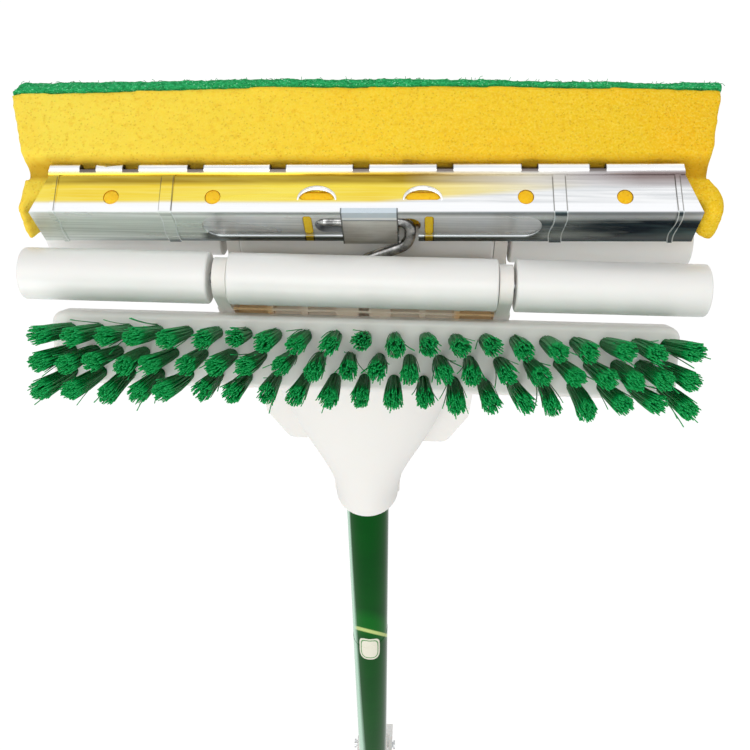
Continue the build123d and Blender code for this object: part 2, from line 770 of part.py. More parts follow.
with BuildPart() as clamp_channel:
    add(sheet_strip(-channel_half, 2 * channel_half, -sheet, 0.0, lower_lip, upper_lip))
    # the dent pressed into the base and the cradle of the hook in its middle
    for mode, grow in ((Mode.ADD, sheet), (Mode.SUBTRACT, 0.0)):
        for (low_x, high_x), half_rise, floor in (
            (dent_span, dent_rise, dent_floor),
            (cradle_span, cradle_rise, cradle_floor),
        ):
            with BuildSketch(refill_front(base_reach)):
                with Locations(((low_x + high_x) / 2, 0)):
                    SlotOverall(high_x - low_x + 2 * grow, 2 * (half_rise + grow))
            extrude(amount=base_reach - floor - grow, mode=mode)
    # the bead rolled along the upper lip, nicked at intervals, and the hem of the lower one
    with BuildSketch(refill_section(-channel_half)):
        with Locations((upper_lip + 0.6, wall_rise(upper_lip, -sheet / 2))):
            Circle(bead_radius)
        with Locations((lower_lip, -wall_rise(lower_lip, -sheet / 2))):
            Circle(hem_radius)
    extrude(amount=2 * channel_half)
    with BuildSketch(refill_section(-channel_half)):
        with Locations((upper_lip + 0.6, wall_rise(upper_lip, -sheet / 2))):
            Circle(bead_radius - sheet)
    extrude(amount=2 * channel_half, mode=Mode.SUBTRACT)
    for notch_x in notch_places:
        with BuildSketch(refill_section(notch_x - 2.9)):
            with Locations((upper_lip + 2.1, wall_rise(upper_lip) + 1.0)):
                Rectangle(5.0, 9.0)
        extrude(amount=5.8, mode=Mode.SUBTRACT)
    # ribs pressed across the sheet
    for rib_x, rib_width in ribs:
        add(sheet_strip(rib_x - rib_width / 2, rib_width, -sheet / 2, rib_raise, 9.0, upper_lip - 1.6))
    # slots and the hook opening in the base
    with BuildSketch(refill_front(base_reach - 1)):
        with Locations(*[(x, 0) for x in base_slots]):
            SlotOverall(11.4, 3.4, rotation=90)
        with Locations(((clip_span[1] + 21.2) / 2, -6.0)):
            Rectangle(20.8 - clip_span[1], 17.2)
    extrude(amount=-1 - cradle_floor + base_reach - sheet - 0.2, mode=Mode.SUBTRACT)
    # holes and half-moon openings through the upper wall
    with BuildSketch(under_upper_wall):
        with Locations(*[(x, 3.2) for x in round_holes]):
            Circle(round_hole_dia / 2)
        with Locations(*[(x, 3.6) for x in lances]):
            SlotOverall(13.0, 3.2)
    extrude(amount=9.0, mode=Mode.SUBTRACT)
    # both ends slant in towards the lips
    with BuildSketch(refill_plan):
        with BuildLine():
            Polyline(
                (-channel_half, base_reach - 1),
                (-channel_half, base_reach),
                (-lip_half, upper_lip),
                (-lip_half, upper_lip + 4),
                (lip_half, upper_lip + 4),
                (lip_half, upper_lip),
                (channel_half, base_reach),
                (channel_half, base_reach - 1),
                close=True,
            )
        make_face()
    extrude(amount=30, both=True, mode=Mode.INTERSECT)
save(clamp_channel, "clamp_channel")

with BuildPart() as clamp_clip:
    add(sheet_strip(clip_span[0], clip_span[1] - clip_span[0], 0.0, sheet, 0.6, -1.8))
save(clamp_clip, "clamp_clip")

with BuildPart() as sponge:
    with BuildSketch(refill_section(sponge_face_span[0])):
        with BuildLine():
            Polyline(
                (core_start, -wall_rise(core_start, -sheet - 0.3)),
                (lower_lip - 1.8, -lip_pinch),
                (lower_lip + 1.8, -lip_pinch),
                (lower_lip + 3.2, -lip_pinch - 2.2),
                (face_reach, face_bottom),
                (face_reach, face_top),
                (upper_lip + 3.4, wall_rise(upper_lip) + 2.6),
                (upper_lip + 3.4, lip_pinch),
                (upper_lip - 2.4, lip_pinch),
                (core_start, wall_rise(core_start, -sheet - 0.3)),
                close=True,
            )
        make_face()
    extrude(amount=sponge_face_span[1] - sponge_face_span[0])
    # the ends swell out past the channel
    for swell in sponge_swell:
        start_x = (channel_half + 0.3) * swell / abs(swell)
        with BuildSketch(refill_section(start_x)):
            with BuildLine():
                Polyline(
                    (-3.4, -8.2),
                    (12.0, -10.4),
                    (12.0, 12.0),
                    (-3.4, 8.8),
                    close=True,
                )
            make_face()
        extrude(amount=swell - start_x)
    # ends taper from the channel to the working face
    with BuildSketch(refill_plan):
        with BuildLine():
            Polyline(
                (sponge_swell[0], -4),
                (sponge_swell[0], 7),
                (-sponge_core_half, 12.5),
                (sponge_face_span[0], face_reach),
                (sponge_face_span[1], face_reach),
                (sponge_core_half, 12.5),
                (sponge_swell[1], 7),
                (sponge_swell[1], -4),
                close=True,
            )
        make_face()
    extrude(amount=40, both=True, mode=Mode.INTERSECT)
save(sponge, "sponge")

with BuildPart() as scrub_pad:
    with BuildSketch(refill_section(sponge_face_span[0])):
        with Locations((face_reach + pad_thickness / 2, (face_top + face_bottom) / 2)):
            Rectangle(pad_thickness, face_top - face_bottom)
    extrude(amount=sponge_face_span[1] - sponge_face_span[0])
save(scrub_pad, "scrub_pad")
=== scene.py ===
import json
import math

import bmesh
import bpy
import numpy as np
from mathutils import Matrix, Vector, noise


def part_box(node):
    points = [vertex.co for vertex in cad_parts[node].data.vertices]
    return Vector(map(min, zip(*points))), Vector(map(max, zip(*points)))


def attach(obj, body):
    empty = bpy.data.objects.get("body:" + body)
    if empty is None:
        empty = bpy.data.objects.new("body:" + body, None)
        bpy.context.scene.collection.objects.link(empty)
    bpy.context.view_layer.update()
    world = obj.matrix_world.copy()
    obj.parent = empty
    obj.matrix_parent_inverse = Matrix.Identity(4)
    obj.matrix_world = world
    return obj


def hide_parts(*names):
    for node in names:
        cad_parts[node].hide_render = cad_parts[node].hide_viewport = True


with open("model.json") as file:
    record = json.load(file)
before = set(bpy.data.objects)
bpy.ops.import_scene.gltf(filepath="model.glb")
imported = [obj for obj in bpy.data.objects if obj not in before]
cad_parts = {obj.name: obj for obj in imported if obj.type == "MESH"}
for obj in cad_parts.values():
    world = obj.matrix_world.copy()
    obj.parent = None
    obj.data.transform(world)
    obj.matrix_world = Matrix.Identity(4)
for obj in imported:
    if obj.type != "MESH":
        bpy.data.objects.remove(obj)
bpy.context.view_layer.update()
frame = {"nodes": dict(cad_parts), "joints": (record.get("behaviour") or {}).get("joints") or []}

nodes = frame["nodes"]
MM = 0.001
dice = np.random.default_rng(41)


# ------------------------------------------------------------------ the refill's own frame
tilt = next(j for j in frame["joints"] if j["name"] == "refill_tilt")
CHANNEL_PITCH = math.radians(14.2)
pin_at = Vector(tilt["pos_m"])
pin_along = Vector(tilt["axis"]).normalized()
square_up = Vector((-pin_along.z, 0, pin_along.x))
reach_along = Vector((0, 1, 0)) * math.cos(CHANNEL_PITCH) + square_up * math.sin(CHANNEL_PITCH)
reach_along.normalize()
rise_along = pin_along.cross(reach_along)


def on_refill(along, reach, rise):
    """Row point of a place on the refill: millimetres along the pin, away from it and up."""
    return pin_at + (pin_along * along + reach_along * reach + rise_along * rise) * MM


# the channel in millimetres: half its base, where the base lies, and how far its walls open
BASE_HALF = 8.85
BASE_REACH = -3.0
FLARE = math.radians(7.4)
HOLES = (-91.5, -53.9, 59.3, 94.3)
BASE_SLOTS = (-19.65, 24.9)
LANCES = {"left": -15.8, "right": 22.5}


def upper_wall_rise(reach):
    """Rise of the outside of the channel's upper wall."""
    return BASE_HALF + (reach - BASE_REACH) * math.tan(FLARE)


# ------------------------------------------------------------------ node helpers
def link(tree, out_socket, in_socket):
    tree.links.new(out_socket, in_socket)


def node(tree, kind, **values):
    made = tree.nodes.new(kind)
    for key, value in values.items():
        if key in made.inputs:
            made.inputs[key].default_value = value
        else:
            setattr(made, key, value)
    return made


def math_node(tree, operation, first, second=None):
    made = tree.nodes.new("ShaderNodeMath")
    made.operation = operation
    for i, value in enumerate((first, second)):
        if value is None:
            continue
        if isinstance(value, (int, float)):
            made.inputs[i].default_value = value
        else:
            link(tree, value, made.inputs[i])
    return made.outputs[0]


def map_range(tree, value, low, high, to_low=0.0, to_high=1.0):
    made = tree.nodes.new("ShaderNodeMapRange")
    made.inputs["From Min"].default_value = low
    made.inputs["From Max"].default_value = high
    made.inputs["To Min"].default_value = to_low
    made.inputs["To Max"].default_value = to_high
    link(tree, value, made.inputs["Value"])
    return made.outputs["Result"]


def mix_colour(tree, factor, first, second, blend="MIX"):
    made = tree.nodes.new("ShaderNodeMix")
    made.data_type = "RGBA"
    made.blend_type = blend
    for socket, value in ((made.inputs[0], factor), (made.inputs[6], first), (made.inputs[7], second)):
        if isinstance(value, (int, float)):
            socket.default_value = value
        elif isinstance(value, (tuple, list)):
            socket.default_value = (*value, 1.0)
        else:
            link(tree, value, socket)
    return made.outputs[2]


def coordinates(tree, scale=(1, 1, 1)):
    """Object coordinates in metres, stretched by scale."""
    source = tree.nodes.new("ShaderNodeTexCoord")
    if scale == (1, 1, 1):
        return source.outputs["Object"]
    stretch = tree.nodes.new("ShaderNodeMapping")
    stretch.inputs["Scale"].default_value = scale
    link(tree, source.outputs["Object"], stretch.inputs["Vector"])
    return stretch.outputs["Vector"]


def noise_value(tree, vector, scale, detail=3.0, roughness=0.55):
    made = node(tree, "ShaderNodeTexNoise", Scale=scale, Detail=detail, Roughness=roughness)
    link(tree, vector, made.inputs["Vector"])
    return made.outputs["Fac"]


def new_group(name, inputs, outputs):
    """A shader node group with named sockets: inputs are (name, kind, value)."""
    tree = bpy.data.node_groups.new(name, "ShaderNodeTree")
    for socket_name, kind, value in inputs:
        socket = tree.interface.new_socket(name=socket_name, in_out="INPUT", socket_type=kind)
        socket.default_value = value
    for socket_name, kind in outputs:
        tree.interface.new_socket(name=socket_name, in_out="OUTPUT", socket_type=kind)
    return tree, tree.nodes.new("NodeGroupInput"), tree.nodes.new("NodeGroupOutput")


def place_group(tree, group, **values):
    made = tree.nodes.new("ShaderNodeGroup")
    made.node_tree = group
    for key, value in values.items():
        socket = made.inputs[key.replace("_", " ")]
        socket.default_value = (*value, 1.0) if isinstance(value, (tuple, list)) else value
    return made


FLOAT, COLOUR = "NodeSocketFloat", "NodeSocketColor"


def make_mottle():
    """Two colours that drift into each other over the surface."""
    tree, given, result = new_group(
        "mottle",
        [("Main", COLOUR, (0.8, 0.8, 0.8, 1)), ("Second", COLOUR, (0.5, 0.5, 0.5, 1)),
         ("Scale", FLOAT, 60.0), ("Amount", FLOAT, 0.5)],
        [("Colour", COLOUR), ("Mask", FLOAT)],
    )
    cloud = node(tree, "ShaderNodeTexNoise", Detail=4.0, Roughness=0.6)
    link(tree, coordinates(tree), cloud.inputs["Vector"])
    link(tree, given.outputs["Scale"], cloud.inputs["Scale"])
    patch = map_range(tree, cloud.outputs["Fac"], 0.38, 0.66)
    mask = math_node(tree, "MULTIPLY", patch, given.outputs["Amount"])
    mixed = mix_colour(tree, mask, given.outputs["Main"], given.outputs["Second"])
    link(tree, mixed, result.inputs["Colour"])
    link(tree, mask, result.inputs["Mask"])
    return tree


def make_fine_grain():
    """Small even relief and the change of gloss that goes with it."""
    tree, given, result = new_group(
        "fine grain",
        [("Scale", FLOAT, 1500.0), ("Gloss Low", FLOAT, 0.3), ("Gloss High", FLOAT, 0.4)],
        [("Height", FLOAT), ("Roughness", FLOAT)],
    )
    small = node(tree, "ShaderNodeTexNoise", Detail=2.0)
    broad = node(tree, "ShaderNodeTexNoise", Detail=3.0, Scale=45.0)
    link(tree, coordinates(tree), small.inputs["Vector"])
    link(tree, coordinates(tree), broad.inputs["Vector"])
    link(tree, given.outputs["Scale"], small.inputs["Scale"])
    spread = math_node(tree, "SUBTRACT", given.outputs["Gloss High"], given.outputs["Gloss Low"])
    share = math_node(tree, "MULTIPLY", map_range(tree, broad.outputs["Fac"], 0.35, 0.7), spread)
    link(tree, math_node(tree, "ADD", share, given.outputs["Gloss Low"]), result.inputs["Roughness"])
    link(tree, small.outputs["Fac"], result.inputs["Height"])
    return tree


def make_refill_place():
    """Where a point lies on the refill, in millimetres along the pin, away from it and up."""
    tree, given, result = new_group("refill place", [], [("Along", FLOAT), ("Reach", FLOAT), ("Rise", FLOAT)])
    away = node(tree, "ShaderNodeVectorMath", operation="SUBTRACT")
    link(tree, coordinates(tree), away.inputs[0])
    away.inputs[1].default_value = pin_at
    for name, direction in (("Along", pin_along), ("Reach", reach_along), ("Rise", rise_along)):
        part = node(tree, "ShaderNodeVectorMath", operation="DOT_PRODUCT")
        link(tree, away.outputs["Vector"], part.inputs[0])
        part.inputs[1].default_value = direction * 1000
        link(tree, part.outputs["Value"], result.inputs[name])
    return tree


mottle = make_mottle()
fine_grain = make_fine_grain()
refill_place = make_refill_place()


def between(tree, value, low, high, soft):
    """One between low and high, falling off to nothing over soft on either side."""
    rise = map_range(tree, value, low - soft, low)
    fall = map_range(tree, value, high, high + soft, 1.0, 0.0)
    return math_node(tree, "MULTIPLY", rise, fall)


def times(tree, *values):
    product = values[0]
    for value in values[1:]:
        product = math_node(tree, "MULTIPLY", product, value)
    return product


def new_material(name):
    made = bpy.data.materials.new(name)
    made.use_nodes = True
    return made, made.node_tree, made.node_tree.nodes["Principled BSDF"]


def relief(tree, shader, height, strength, distance, under=None):
    bump = node(tree, "ShaderNodeBump", Strength=strength, Distance=distance)
    link(tree, height, bump.inputs["Height"])
    if under is not None:
        link(tree, under, bump.inputs["Normal"])
    link(tree, bump.outputs["Normal"], shader.inputs["Normal"])
    return bump.outputs["Normal"]


# ------------------------------------------------------------------ materials
def moulded_white(name, main, shade, gloss_low, gloss_high, grain_depth=0.00002):
    made, tree, shader = new_material(name)
    colour = place_group(tree, mottle, Main=main, Second=shade, Scale=14.0, Amount=0.35)
    grain = place_group(tree, fine_grain, Scale=2200.0, Gloss_Low=gloss_low, Gloss_High=gloss_high)
    link(tree, colour.outputs["Colour"], shader.inputs["Base Color"])
    shader.inputs["Subsurface Weight"].default_value = 0.25
    shader.inputs["Subsurface Radius"].default_value = (0.004, 0.003, 0.0025)
    link(tree, grain.outputs["Roughness"], shader.inputs["Roughness"])
    relief(tree, shader, grain.outputs["Height"], 0.25, grain_depth)
    return made


NOTCHES = (-101.0, -85.0, -60.8, -30.4, 0.0, 30.4, 60.8, 85.0)


def near_notch(tree, along):
    """One beside each nick of the bead."""
    nick = None
    for notch in NOTCHES:
        apart = math_node(tree, "ABSOLUTE", math_node(tree, "SUBTRACT", along, notch))
        near = map_range(tree, apart, 2.9, 3.3, 1.0, 0.0)
        nick = near if nick is None else math_node(tree, "MAXIMUM", nick, near)
    return nick


CREASES = (-112.2, -73.3, -68.7, 69.2, 73.8, 112.5, 114.3)


def zinc_plated_sheet():
    """Plated sheet with painted light: a painted yellow reflection of the foam on the upper wall, a painted
    highlight along the fold, and a painted reflection on the base that darkens to the right.
    """
    made, tree, shader = new_material("zinc plated sheet")
    place = place_group(tree, refill_place)
    along, reach, rise = place.outputs["Along"], place.outputs["Reach"], place.outputs["Rise"]
    lines = noise_value(tree, coordinates(tree, (9, 900, 900)), 1.0, 4.0, 0.6)
    clouds = noise_value(tree, coordinates(tree, (16, 130, 130)), 1.0, 3.0, 0.55)
    # clean metal
    colour = mix_colour(tree, map_range(tree, lines, 0.35, 0.65), (0.70, 0.72, 0.74), (0.93, 0.94, 0.95))
    colour = mix_colour(tree, map_range(tree, clouds, 0.5, 0.75, 0.0, 0.3), colour, (0.55, 0.60, 0.62))
    # the wall between fold and lip: a painted yellow reflection of the foam, with painted shade below the
    # bead
    lowered = math_node(tree, "SUBTRACT", reach, map_range(tree, along, 5.0, 80.0, 0.0, 6.0))
    wall = times(tree, map_range(tree, lowered, 0.2, 2.0), map_range(tree, reach, 13.1, 12.3))
    upper = map_range(tree, rise, 4.0, 6.0)
    yellow = times(tree, wall, upper, map_range(tree, along, 15.0, 84.0, 1.0, 0.0))
    foam_reflection_tint = mix_colour(tree, map_range(tree, clouds, 0.35, 0.7), (0.93, 0.76, 0.10), (0.84, 0.60, 0.05))
    foam_reflection_tint = mix_colour(tree, map_range(tree, lines, 0.45, 0.75, 0.0, 0.45), foam_reflection_tint, (0.95, 0.86, 0.32))
    shade = times(tree, between(tree, reach, 9.6, 13.2, 1.8), map_range(tree, clouds, 0.3, 0.6, 0.45, 1.0))
    foam_reflection_tint = mix_colour(tree, times(tree, shade, 0.85), foam_reflection_tint, (0.30, 0.19, 0.02))
    colour = mix_colour(tree, yellow, colour, foam_reflection_tint)
    # painted shade under the lip towards the right end
    painted_lip_shade = times(tree, wall, upper, map_range(tree, along, 60.0, 100.0), map_range(tree, reach, 5.0, 11.0))
    colour = mix_colour(tree, times(tree, painted_lip_shade, 0.9), colour, (0.24, 0.175, 0.17))
    # the base: a painted reflection, pale to the left and dark to the right, with a painted glint band and
    # paler towards its foot
    base = map_range(tree, reach, -2.2, -2.7)
    pale_reflection_left = mix_colour(tree, map_range(tree, lines, 0.4, 0.62), (0.60, 0.66, 0.61), (0.78, 0.84, 0.79))
    cloudy = map_range(tree, clouds, 0.42, 0.7)
    dark_reflection_right = mix_colour(tree, cloudy, (0.010, 0.020, 0.030), (0.12, 0.20, 0.21))
    reflection_sweep = math_node(tree, "ADD", along, map_range(tree, clouds, 0.3, 0.7, -45.0, 45.0))
    glint = between(tree, rise, 5.2, 6.6, 1.6)
    dark_reflection_right = mix_colour(tree, times(tree, glint, 0.7), dark_reflection_right, (0.42, 0.45, 0.46))
    foot = map_range(tree, rise, -3.0, -7.0, 0.0, 0.65)
    dark_reflection_right = mix_colour(tree, foot, dark_reflection_right, (0.20, 0.22, 0.22))
    base_reflection = mix_colour(tree, map_range(tree, reflection_sweep, -30.0, 75.0), pale_reflection_left, dark_reflection_right)
    # painted shade along the lower edge of the base
    low_edge_shade = times(tree, map_range(tree, rise, -6.0, -8.4), map_range(tree, along, -118.0, -70.0, 0.2, 1.0))
    base_reflection = mix_colour(tree, times(tree, low_edge_shade, 0.85), base_reflection, (0.05, 0.07, 0.08))
    # painted shade just under the fold
    under_fold_shade = between(tree, rise, 7.6, 8.5, 0.5)
    under_fold_shade = times(tree, under_fold_shade, map_range(tree, along, -75.0, -30.0, 0.1, 1.0))
    base_reflection = mix_colour(tree, times(tree, under_fold_shade, 0.8), base_reflection, (0.05, 0.07, 0.08))
    # painted shade along the foot of the dent
    dent_foot_shade = between(tree, along, -58.0, 64.0, 3.0)
    dent_foot_shade = times(tree, dent_foot_shade, between(tree, rise, -7.6, -4.2, 0.6), 0.88)
    base_reflection = mix_colour(tree, dent_foot_shade, base_reflection, (0.09, 0.10, 0.09))
    colour = mix_colour(tree, base, colour, base_reflection)
    # painted highlight along the fold
    band = times(tree, between(tree, reach, -2.4, 0.4, 0.9), upper)
    colour = mix_colour(tree, times(tree, band, 0.85), colour, (0.97, 0.98, 1.0))
    # the base slots run on into the lower bend as paint: a dark painted shade at their edges and dim foam
    # colour within
    for slot in BASE_SLOTS:
        apart = math_node(tree, "ABSOLUTE", math_node(tree, "SUBTRACT", along, slot))
        for half, tone in ((1.75, (0.06, 0.05, 0.02)), (1.25, (0.42, 0.29, 0.012))):
            thin = map_range(tree, apart, half, half + 0.2, 1.0, 0.0)
            run_on = times(tree, base, thin, map_range(tree, rise, -5.2, -5.5))
            colour = mix_colour(tree, run_on, colour, tone)
    # painted shade in the nicks of the bead
    nick = times(tree, near_notch(tree, along), map_range(tree, reach, 12.2, 12.8))
    colour = mix_colour(tree, nick, colour, (0.10, 0.085, 0.08))
    # painted lines beside the ribs: painted shade on the wall and a painted highlight on the base
    painted_rib_lines = None
    for crease in CREASES:
        wave = math_node(tree, "SINE", times(tree, rise, 0.35))
        course = math_node(tree, "ADD", times(tree, wave, 0.5), crease)
        near = math_node(tree, "ABSOLUTE", math_node(tree, "SUBTRACT", along, course))
        thin = map_range(tree, near, 0.10, 0.28, 1.0, 0.0)
        painted_rib_lines = thin if painted_rib_lines is None else math_node(tree, "MAXIMUM", painted_rib_lines, thin)
    painted_rib_lines = times(tree, painted_rib_lines, map_range(tree, reach, 12.0, 11.0))
    rib_shade_and_highlight = mix_colour(tree, base, (0.10, 0.09, 0.07), (0.85, 0.9, 0.9))
    colour = mix_colour(tree, times(tree, painted_rib_lines, 0.75), colour, rib_shade_and_highlight)
    link(tree, colour, shader.inputs["Base Color"])
    shader.inputs["Metallic"].default_value = 1.0
    link(tree, map_range(tree, clouds, 0.3, 0.75, 0.24, 0.38), shader.inputs["Roughness"])
    dents = noise_value(tree, coordinates(tree, (12, 60, 60)), 1.0, 2.0, 0.4)
    first = node(tree, "ShaderNodeBump", Strength=0.4, Distance=0.0008)
    link(tree, dents, first.inputs["Height"])
    relief(tree, shader, lines, 0.25, 0.00004, first.outputs["Normal"])
    return made


def clip_sheet():
    """Plain plated sheet of the clip, darker and greyer than the channel, with a painted highlight along its
    top lip and painted shade in its crease and along its sides.
    """
    made, tree, shader = new_material("clip sheet")
    place = place_group(tree, refill_place)
    along, rise = place.outputs["Along"], place.outputs["Rise"]
    lines = noise_value(tree, coordinates(tree, (60, 800, 800)), 1.0, 4.0, 0.6)
    clouds = noise_value(tree, coordinates(tree, (60, 150, 150)), 1.0, 3.0, 0.5)
    front = mix_colour(tree, map_range(tree, clouds, 0.35, 0.7), (0.46, 0.44, 0.40), (0.66, 0.66, 0.62))
    front = mix_colour(tree, map_range(tree, lines, 0.4, 0.7, 0.0, 0.4), front, (0.80, 0.80, 0.76))
    # painted highlight band along the bent-over top lip
    lip_with_highlight = mix_colour(tree, between(tree, rise, 5.6, 6.4, 0.5), (0.62, 0.70, 0.76), (0.90, 0.93, 0.95))
    colour = mix_colour(tree, map_range(tree, rise, 4.9, 5.3), front, lip_with_highlight)
    # painted shade in the crease below the top lip and along the clip's sides
    crease = between(tree, rise, 4.75, 5.05, 0.15)
    sides = math_node(tree, "ABSOLUTE", math_node(tree, "SUBTRACT", along, 3.25))
    side_shade = map_range(tree, sides, 9.7, 10.1)
    dark = math_node(tree, "MAXIMUM", crease, side_shade)
    colour = mix_colour(tree, times(tree, dark, 0.85), colour, (0.06, 0.07, 0.07))
    link(tree, colour, shader.inputs["Base Color"])
    shader.inputs["Metallic"].default_value = 1.0
    link(tree, map_range(tree, clouds, 0.3, 0.75, 0.26, 0.4), shader.inputs["Roughness"])
    relief(tree, shader, lines, 0.3, 0.00005)
    return made


def drawn_steel(name, light, dark, gloss):
    made, tree, shader = new_material(name)
    colour = place_group(tree, mottle, Main=light, Second=dark, Scale=260.0, Amount=0.9)
    grain = place_group(tree, fine_grain, Scale=1800.0, Gloss_Low=gloss, Gloss_High=gloss + 0.14)
    link(tree, colour.outputs["Colour"], shader.inputs["Base Color"])
    link(tree, grain.outputs["Roughness"], shader.inputs["Roughness"])
    shader.inputs["Metallic"].default_value = 1.0
    relief(tree, shader, grain.outputs["Height"], 0.35, 0.00003)
    return made


# the label's blank field, in metres, and the height that its band is measured down from
FIELD_MIDDLE = 0.918
FIELD_HALF_HEIGHT = 0.015
FIELD_HALF_WIDTH = 0.0065
BAND_FROM = 1.25
BAND_DOWN = 327.0
BAND_SLANT = 0.478
BAND_DIP = 2.108             # the band climbs round the tube by this much of its depth


def make_label_print():
    """The label's plain print: a slanting band and a blank framed field, with no words."""
    ground = ("Ground", COLOUR, (0.0, 0.07, 0.006, 1))
    tree, given, result = new_group("label print", [ground], [("Colour", COLOUR)])
    at = node(tree, "ShaderNodeSeparateXYZ")
    link(tree, coordinates(tree), at.inputs["Vector"])
    across = math_node(tree, "MULTIPLY", at.outputs["X"], 1000.0)
    slant = math_node(tree, "ADD", at.outputs["Z"], math_node(tree, "MULTIPLY", at.outputs["Y"], BAND_DIP))
    down = math_node(tree, "MULTIPLY", math_node(tree, "SUBTRACT", BAND_FROM, slant), 1000.0)
    front = map_range(tree, at.outputs["Y"], 0.001, -0.001)
    edge = math_node(tree, "ADD", math_node(tree, "MULTIPLY", across, BAND_SLANT), BAND_DOWN)
    below = math_node(tree, "SUBTRACT", down, edge)
    band = between(tree, below, 0.0, 3.2, 1.6)
    fresh = between(tree, below, -14.0, 0.0, 14.0)
    # upright field with rounded corners, and a thin line inside its edge
    side = math_node(tree, "DIVIDE", at.outputs["X"], FIELD_HALF_WIDTH)
    tall = math_node(tree, "SUBTRACT", at.outputs["Z"], FIELD_MIDDLE)
    tall = math_node(tree, "DIVIDE", tall, FIELD_HALF_HEIGHT)
    far = math_node(tree, "ADD", times(tree, side, side, side, side), times(tree, tall, tall, tall, tall))
    field = map_range(tree, far, 0.95, 1.10, 1.0, 0.0)
    line = between(tree, far, 0.42, 0.56, 0.06)
    colour = given.outputs["Ground"]
    colour = mix_colour(tree, times(tree, fresh, front, 0.6), colour, (0.0, 0.16, 0.01))
    colour = mix_colour(tree, times(tree, band, front), colour, (0.52, 0.62, 0.22))
    colour = mix_colour(tree, times(tree, field, front), colour, (0.80, 0.78, 0.66))
    colour = mix_colour(tree, times(tree, line, front), colour, (0.10, 0.30, 0.10))
    link(tree, colour, result.inputs["Colour"])
    return tree


label_print = make_label_print()


def glossy_tube(name, gloss_low, gloss_high):
    """Dark green gloss with a pale sheen painted into its colour where it grazes on the left."""
    made, tree, shader = new_material(name)
    main, second = (0.0, 0.072, 0.006), (0.0, 0.055, 0.006)
    ground = place_group(tree, mottle, Main=main, Second=second, Scale=26.0, Amount=0.6)
    printed = place_group(tree, label_print)
    link(tree, ground.outputs["Colour"], printed.inputs["Ground"])
    at = node(tree, "ShaderNodeSeparateXYZ")
    link(tree, coordinates(tree), at.inputs["Vector"])
    # painted sheen: the colour turns pale at grazing angles on the left side only
    grazing = node(tree, "ShaderNodeLayerWeight", Blend=0.5).outputs["Facing"]
    left = map_range(tree, at.outputs["X"], -0.003, -0.006)
    sheen = times(tree, map_range(tree, grazing, 0.715, 0.79), left, 0.95)
    colour = mix_colour(tree, sheen, printed.outputs["Colour"], (0.50, 0.76, 0.60))
    link(tree, colour, shader.inputs["Base Color"])
    shader.inputs["Specular IOR Level"].default_value = 0.015
    grain = place_group(tree, fine_grain, Scale=800.0, Gloss_Low=gloss_low, Gloss_High=gloss_high)
    link(tree, grain.outputs["Roughness"], shader.inputs["Roughness"])
    relief(tree, shader, grain.outputs["Height"], 0.2, 0.00003)
    return made


def open_foam():
    """Yellow cell foam: fine open grain, scattered pores and soft orange patches."""
    made, tree, shader = new_material("open cell foam")
    place = place_group(tree, refill_place)
    patches = noise_value(tree, coordinates(tree, (26, 18, 12)), 1.0, 2.0, 0.5)
    grain = noise_value(tree, coordinates(tree), 1250.0, 2.0, 0.6)
    coarse = noise_value(tree, coordinates(tree), 420.0, 2.0, 0.6)
    along, reach = place.outputs["Along"], place.outputs["Reach"]
    # painted shade: the foam darkens and turns more orange towards the right end
    light = mix_colour(tree, map_range(tree, along, -125.0, 0.0), (0.97, 0.76, 0.085), (0.96, 0.64, 0.03))
    light = mix_colour(tree, map_range(tree, along, 0.0, 125.0), light, (0.84, 0.54, 0.014))
    base = mix_colour(tree, map_range(tree, patches, 0.5, 0.72, 0.0, 0.5), light, (0.96, 0.50, 0.01))
    base = mix_colour(tree, map_range(tree, grain, 0.42, 0.72, 0.0, 0.45), base, (1.0, 0.80, 0.13))
    base = mix_colour(tree, map_range(tree, coarse, 0.3, 0.46, 0.34, 0.0), base, (0.78, 0.42, 0.01))
    # pores: dimples in the bump, also painted darker as the shade inside them
    cells = node(tree, "ShaderNodeTexVoronoi", Scale=760.0, Randomness=1.0)
    link(tree, coordinates(tree), cells.inputs["Vector"])
    pits = map_range(tree, cells.outputs["Distance"], 0.10, 0.30)
    base = mix_colour(tree, map_range(tree, pits, 0.0, 1.0, 0.3, 0.0), base, (0.60, 0.32, 0.004))
    # painted shade: browner where the lips press on it, dark in the nicks and along the lip
    pinch_shade = times(tree, map_range(tree, reach, 19.5, 16.8), map_range(tree, reach, 11.0, 13.5))
    base = mix_colour(tree, times(tree, pinch_shade, 0.7), base, (0.50, 0.25, 0.005))
    nick = times(tree, near_notch(tree, along), between(tree, reach, 11.0, 16.4, 0.4))
    lip_gap_shade = times(tree, between(tree, reach, 14.0, 16.8, 0.4), map_range(tree, along, -70.0, -35.0))
    lip_gap_shade = times(tree, lip_gap_shade, map_range(tree, along, 116.0, 114.5), 0.85)
    base = mix_colour(tree, math_node(tree, "MAXIMUM", nick, lip_gap_shade), base, (0.05, 0.035, 0.02))
    # painted shade on the foam low in the channel, near its base
    sideways = math_node(tree, "ABSOLUTE", along)
    deep_shade = times(tree, map_range(tree, reach, 1.0, -1.0), map_range(tree, sideways, 60.0, 50.0), 0.6)
    base = mix_colour(tree, deep_shade, base, (0.30, 0.19, 0.008))
    in_holes = times(tree, between(tree, reach, 0.2, 6.3, 0.1), map_range(tree, sideways, 110.0, 100.0), 0.6)
    base = mix_colour(tree, in_holes, base, (0.98, 0.52, 0.008))
    link(tree, base, shader.inputs["Base Color"])
    shader.inputs["Roughness"].default_value = 0.95
    shader.inputs["Specular IOR Level"].default_value = 0.15
    shader.inputs["Subsurface Weight"].default_value = 0.2
    shader.inputs["Subsurface Radius"].default_value = (0.003, 0.0015, 0.0004)
    height = math_node(tree, "ADD", times(tree, grain, 0.5), pits)
    relief(tree, shader, height, 0.5, 0.0004)
    return made


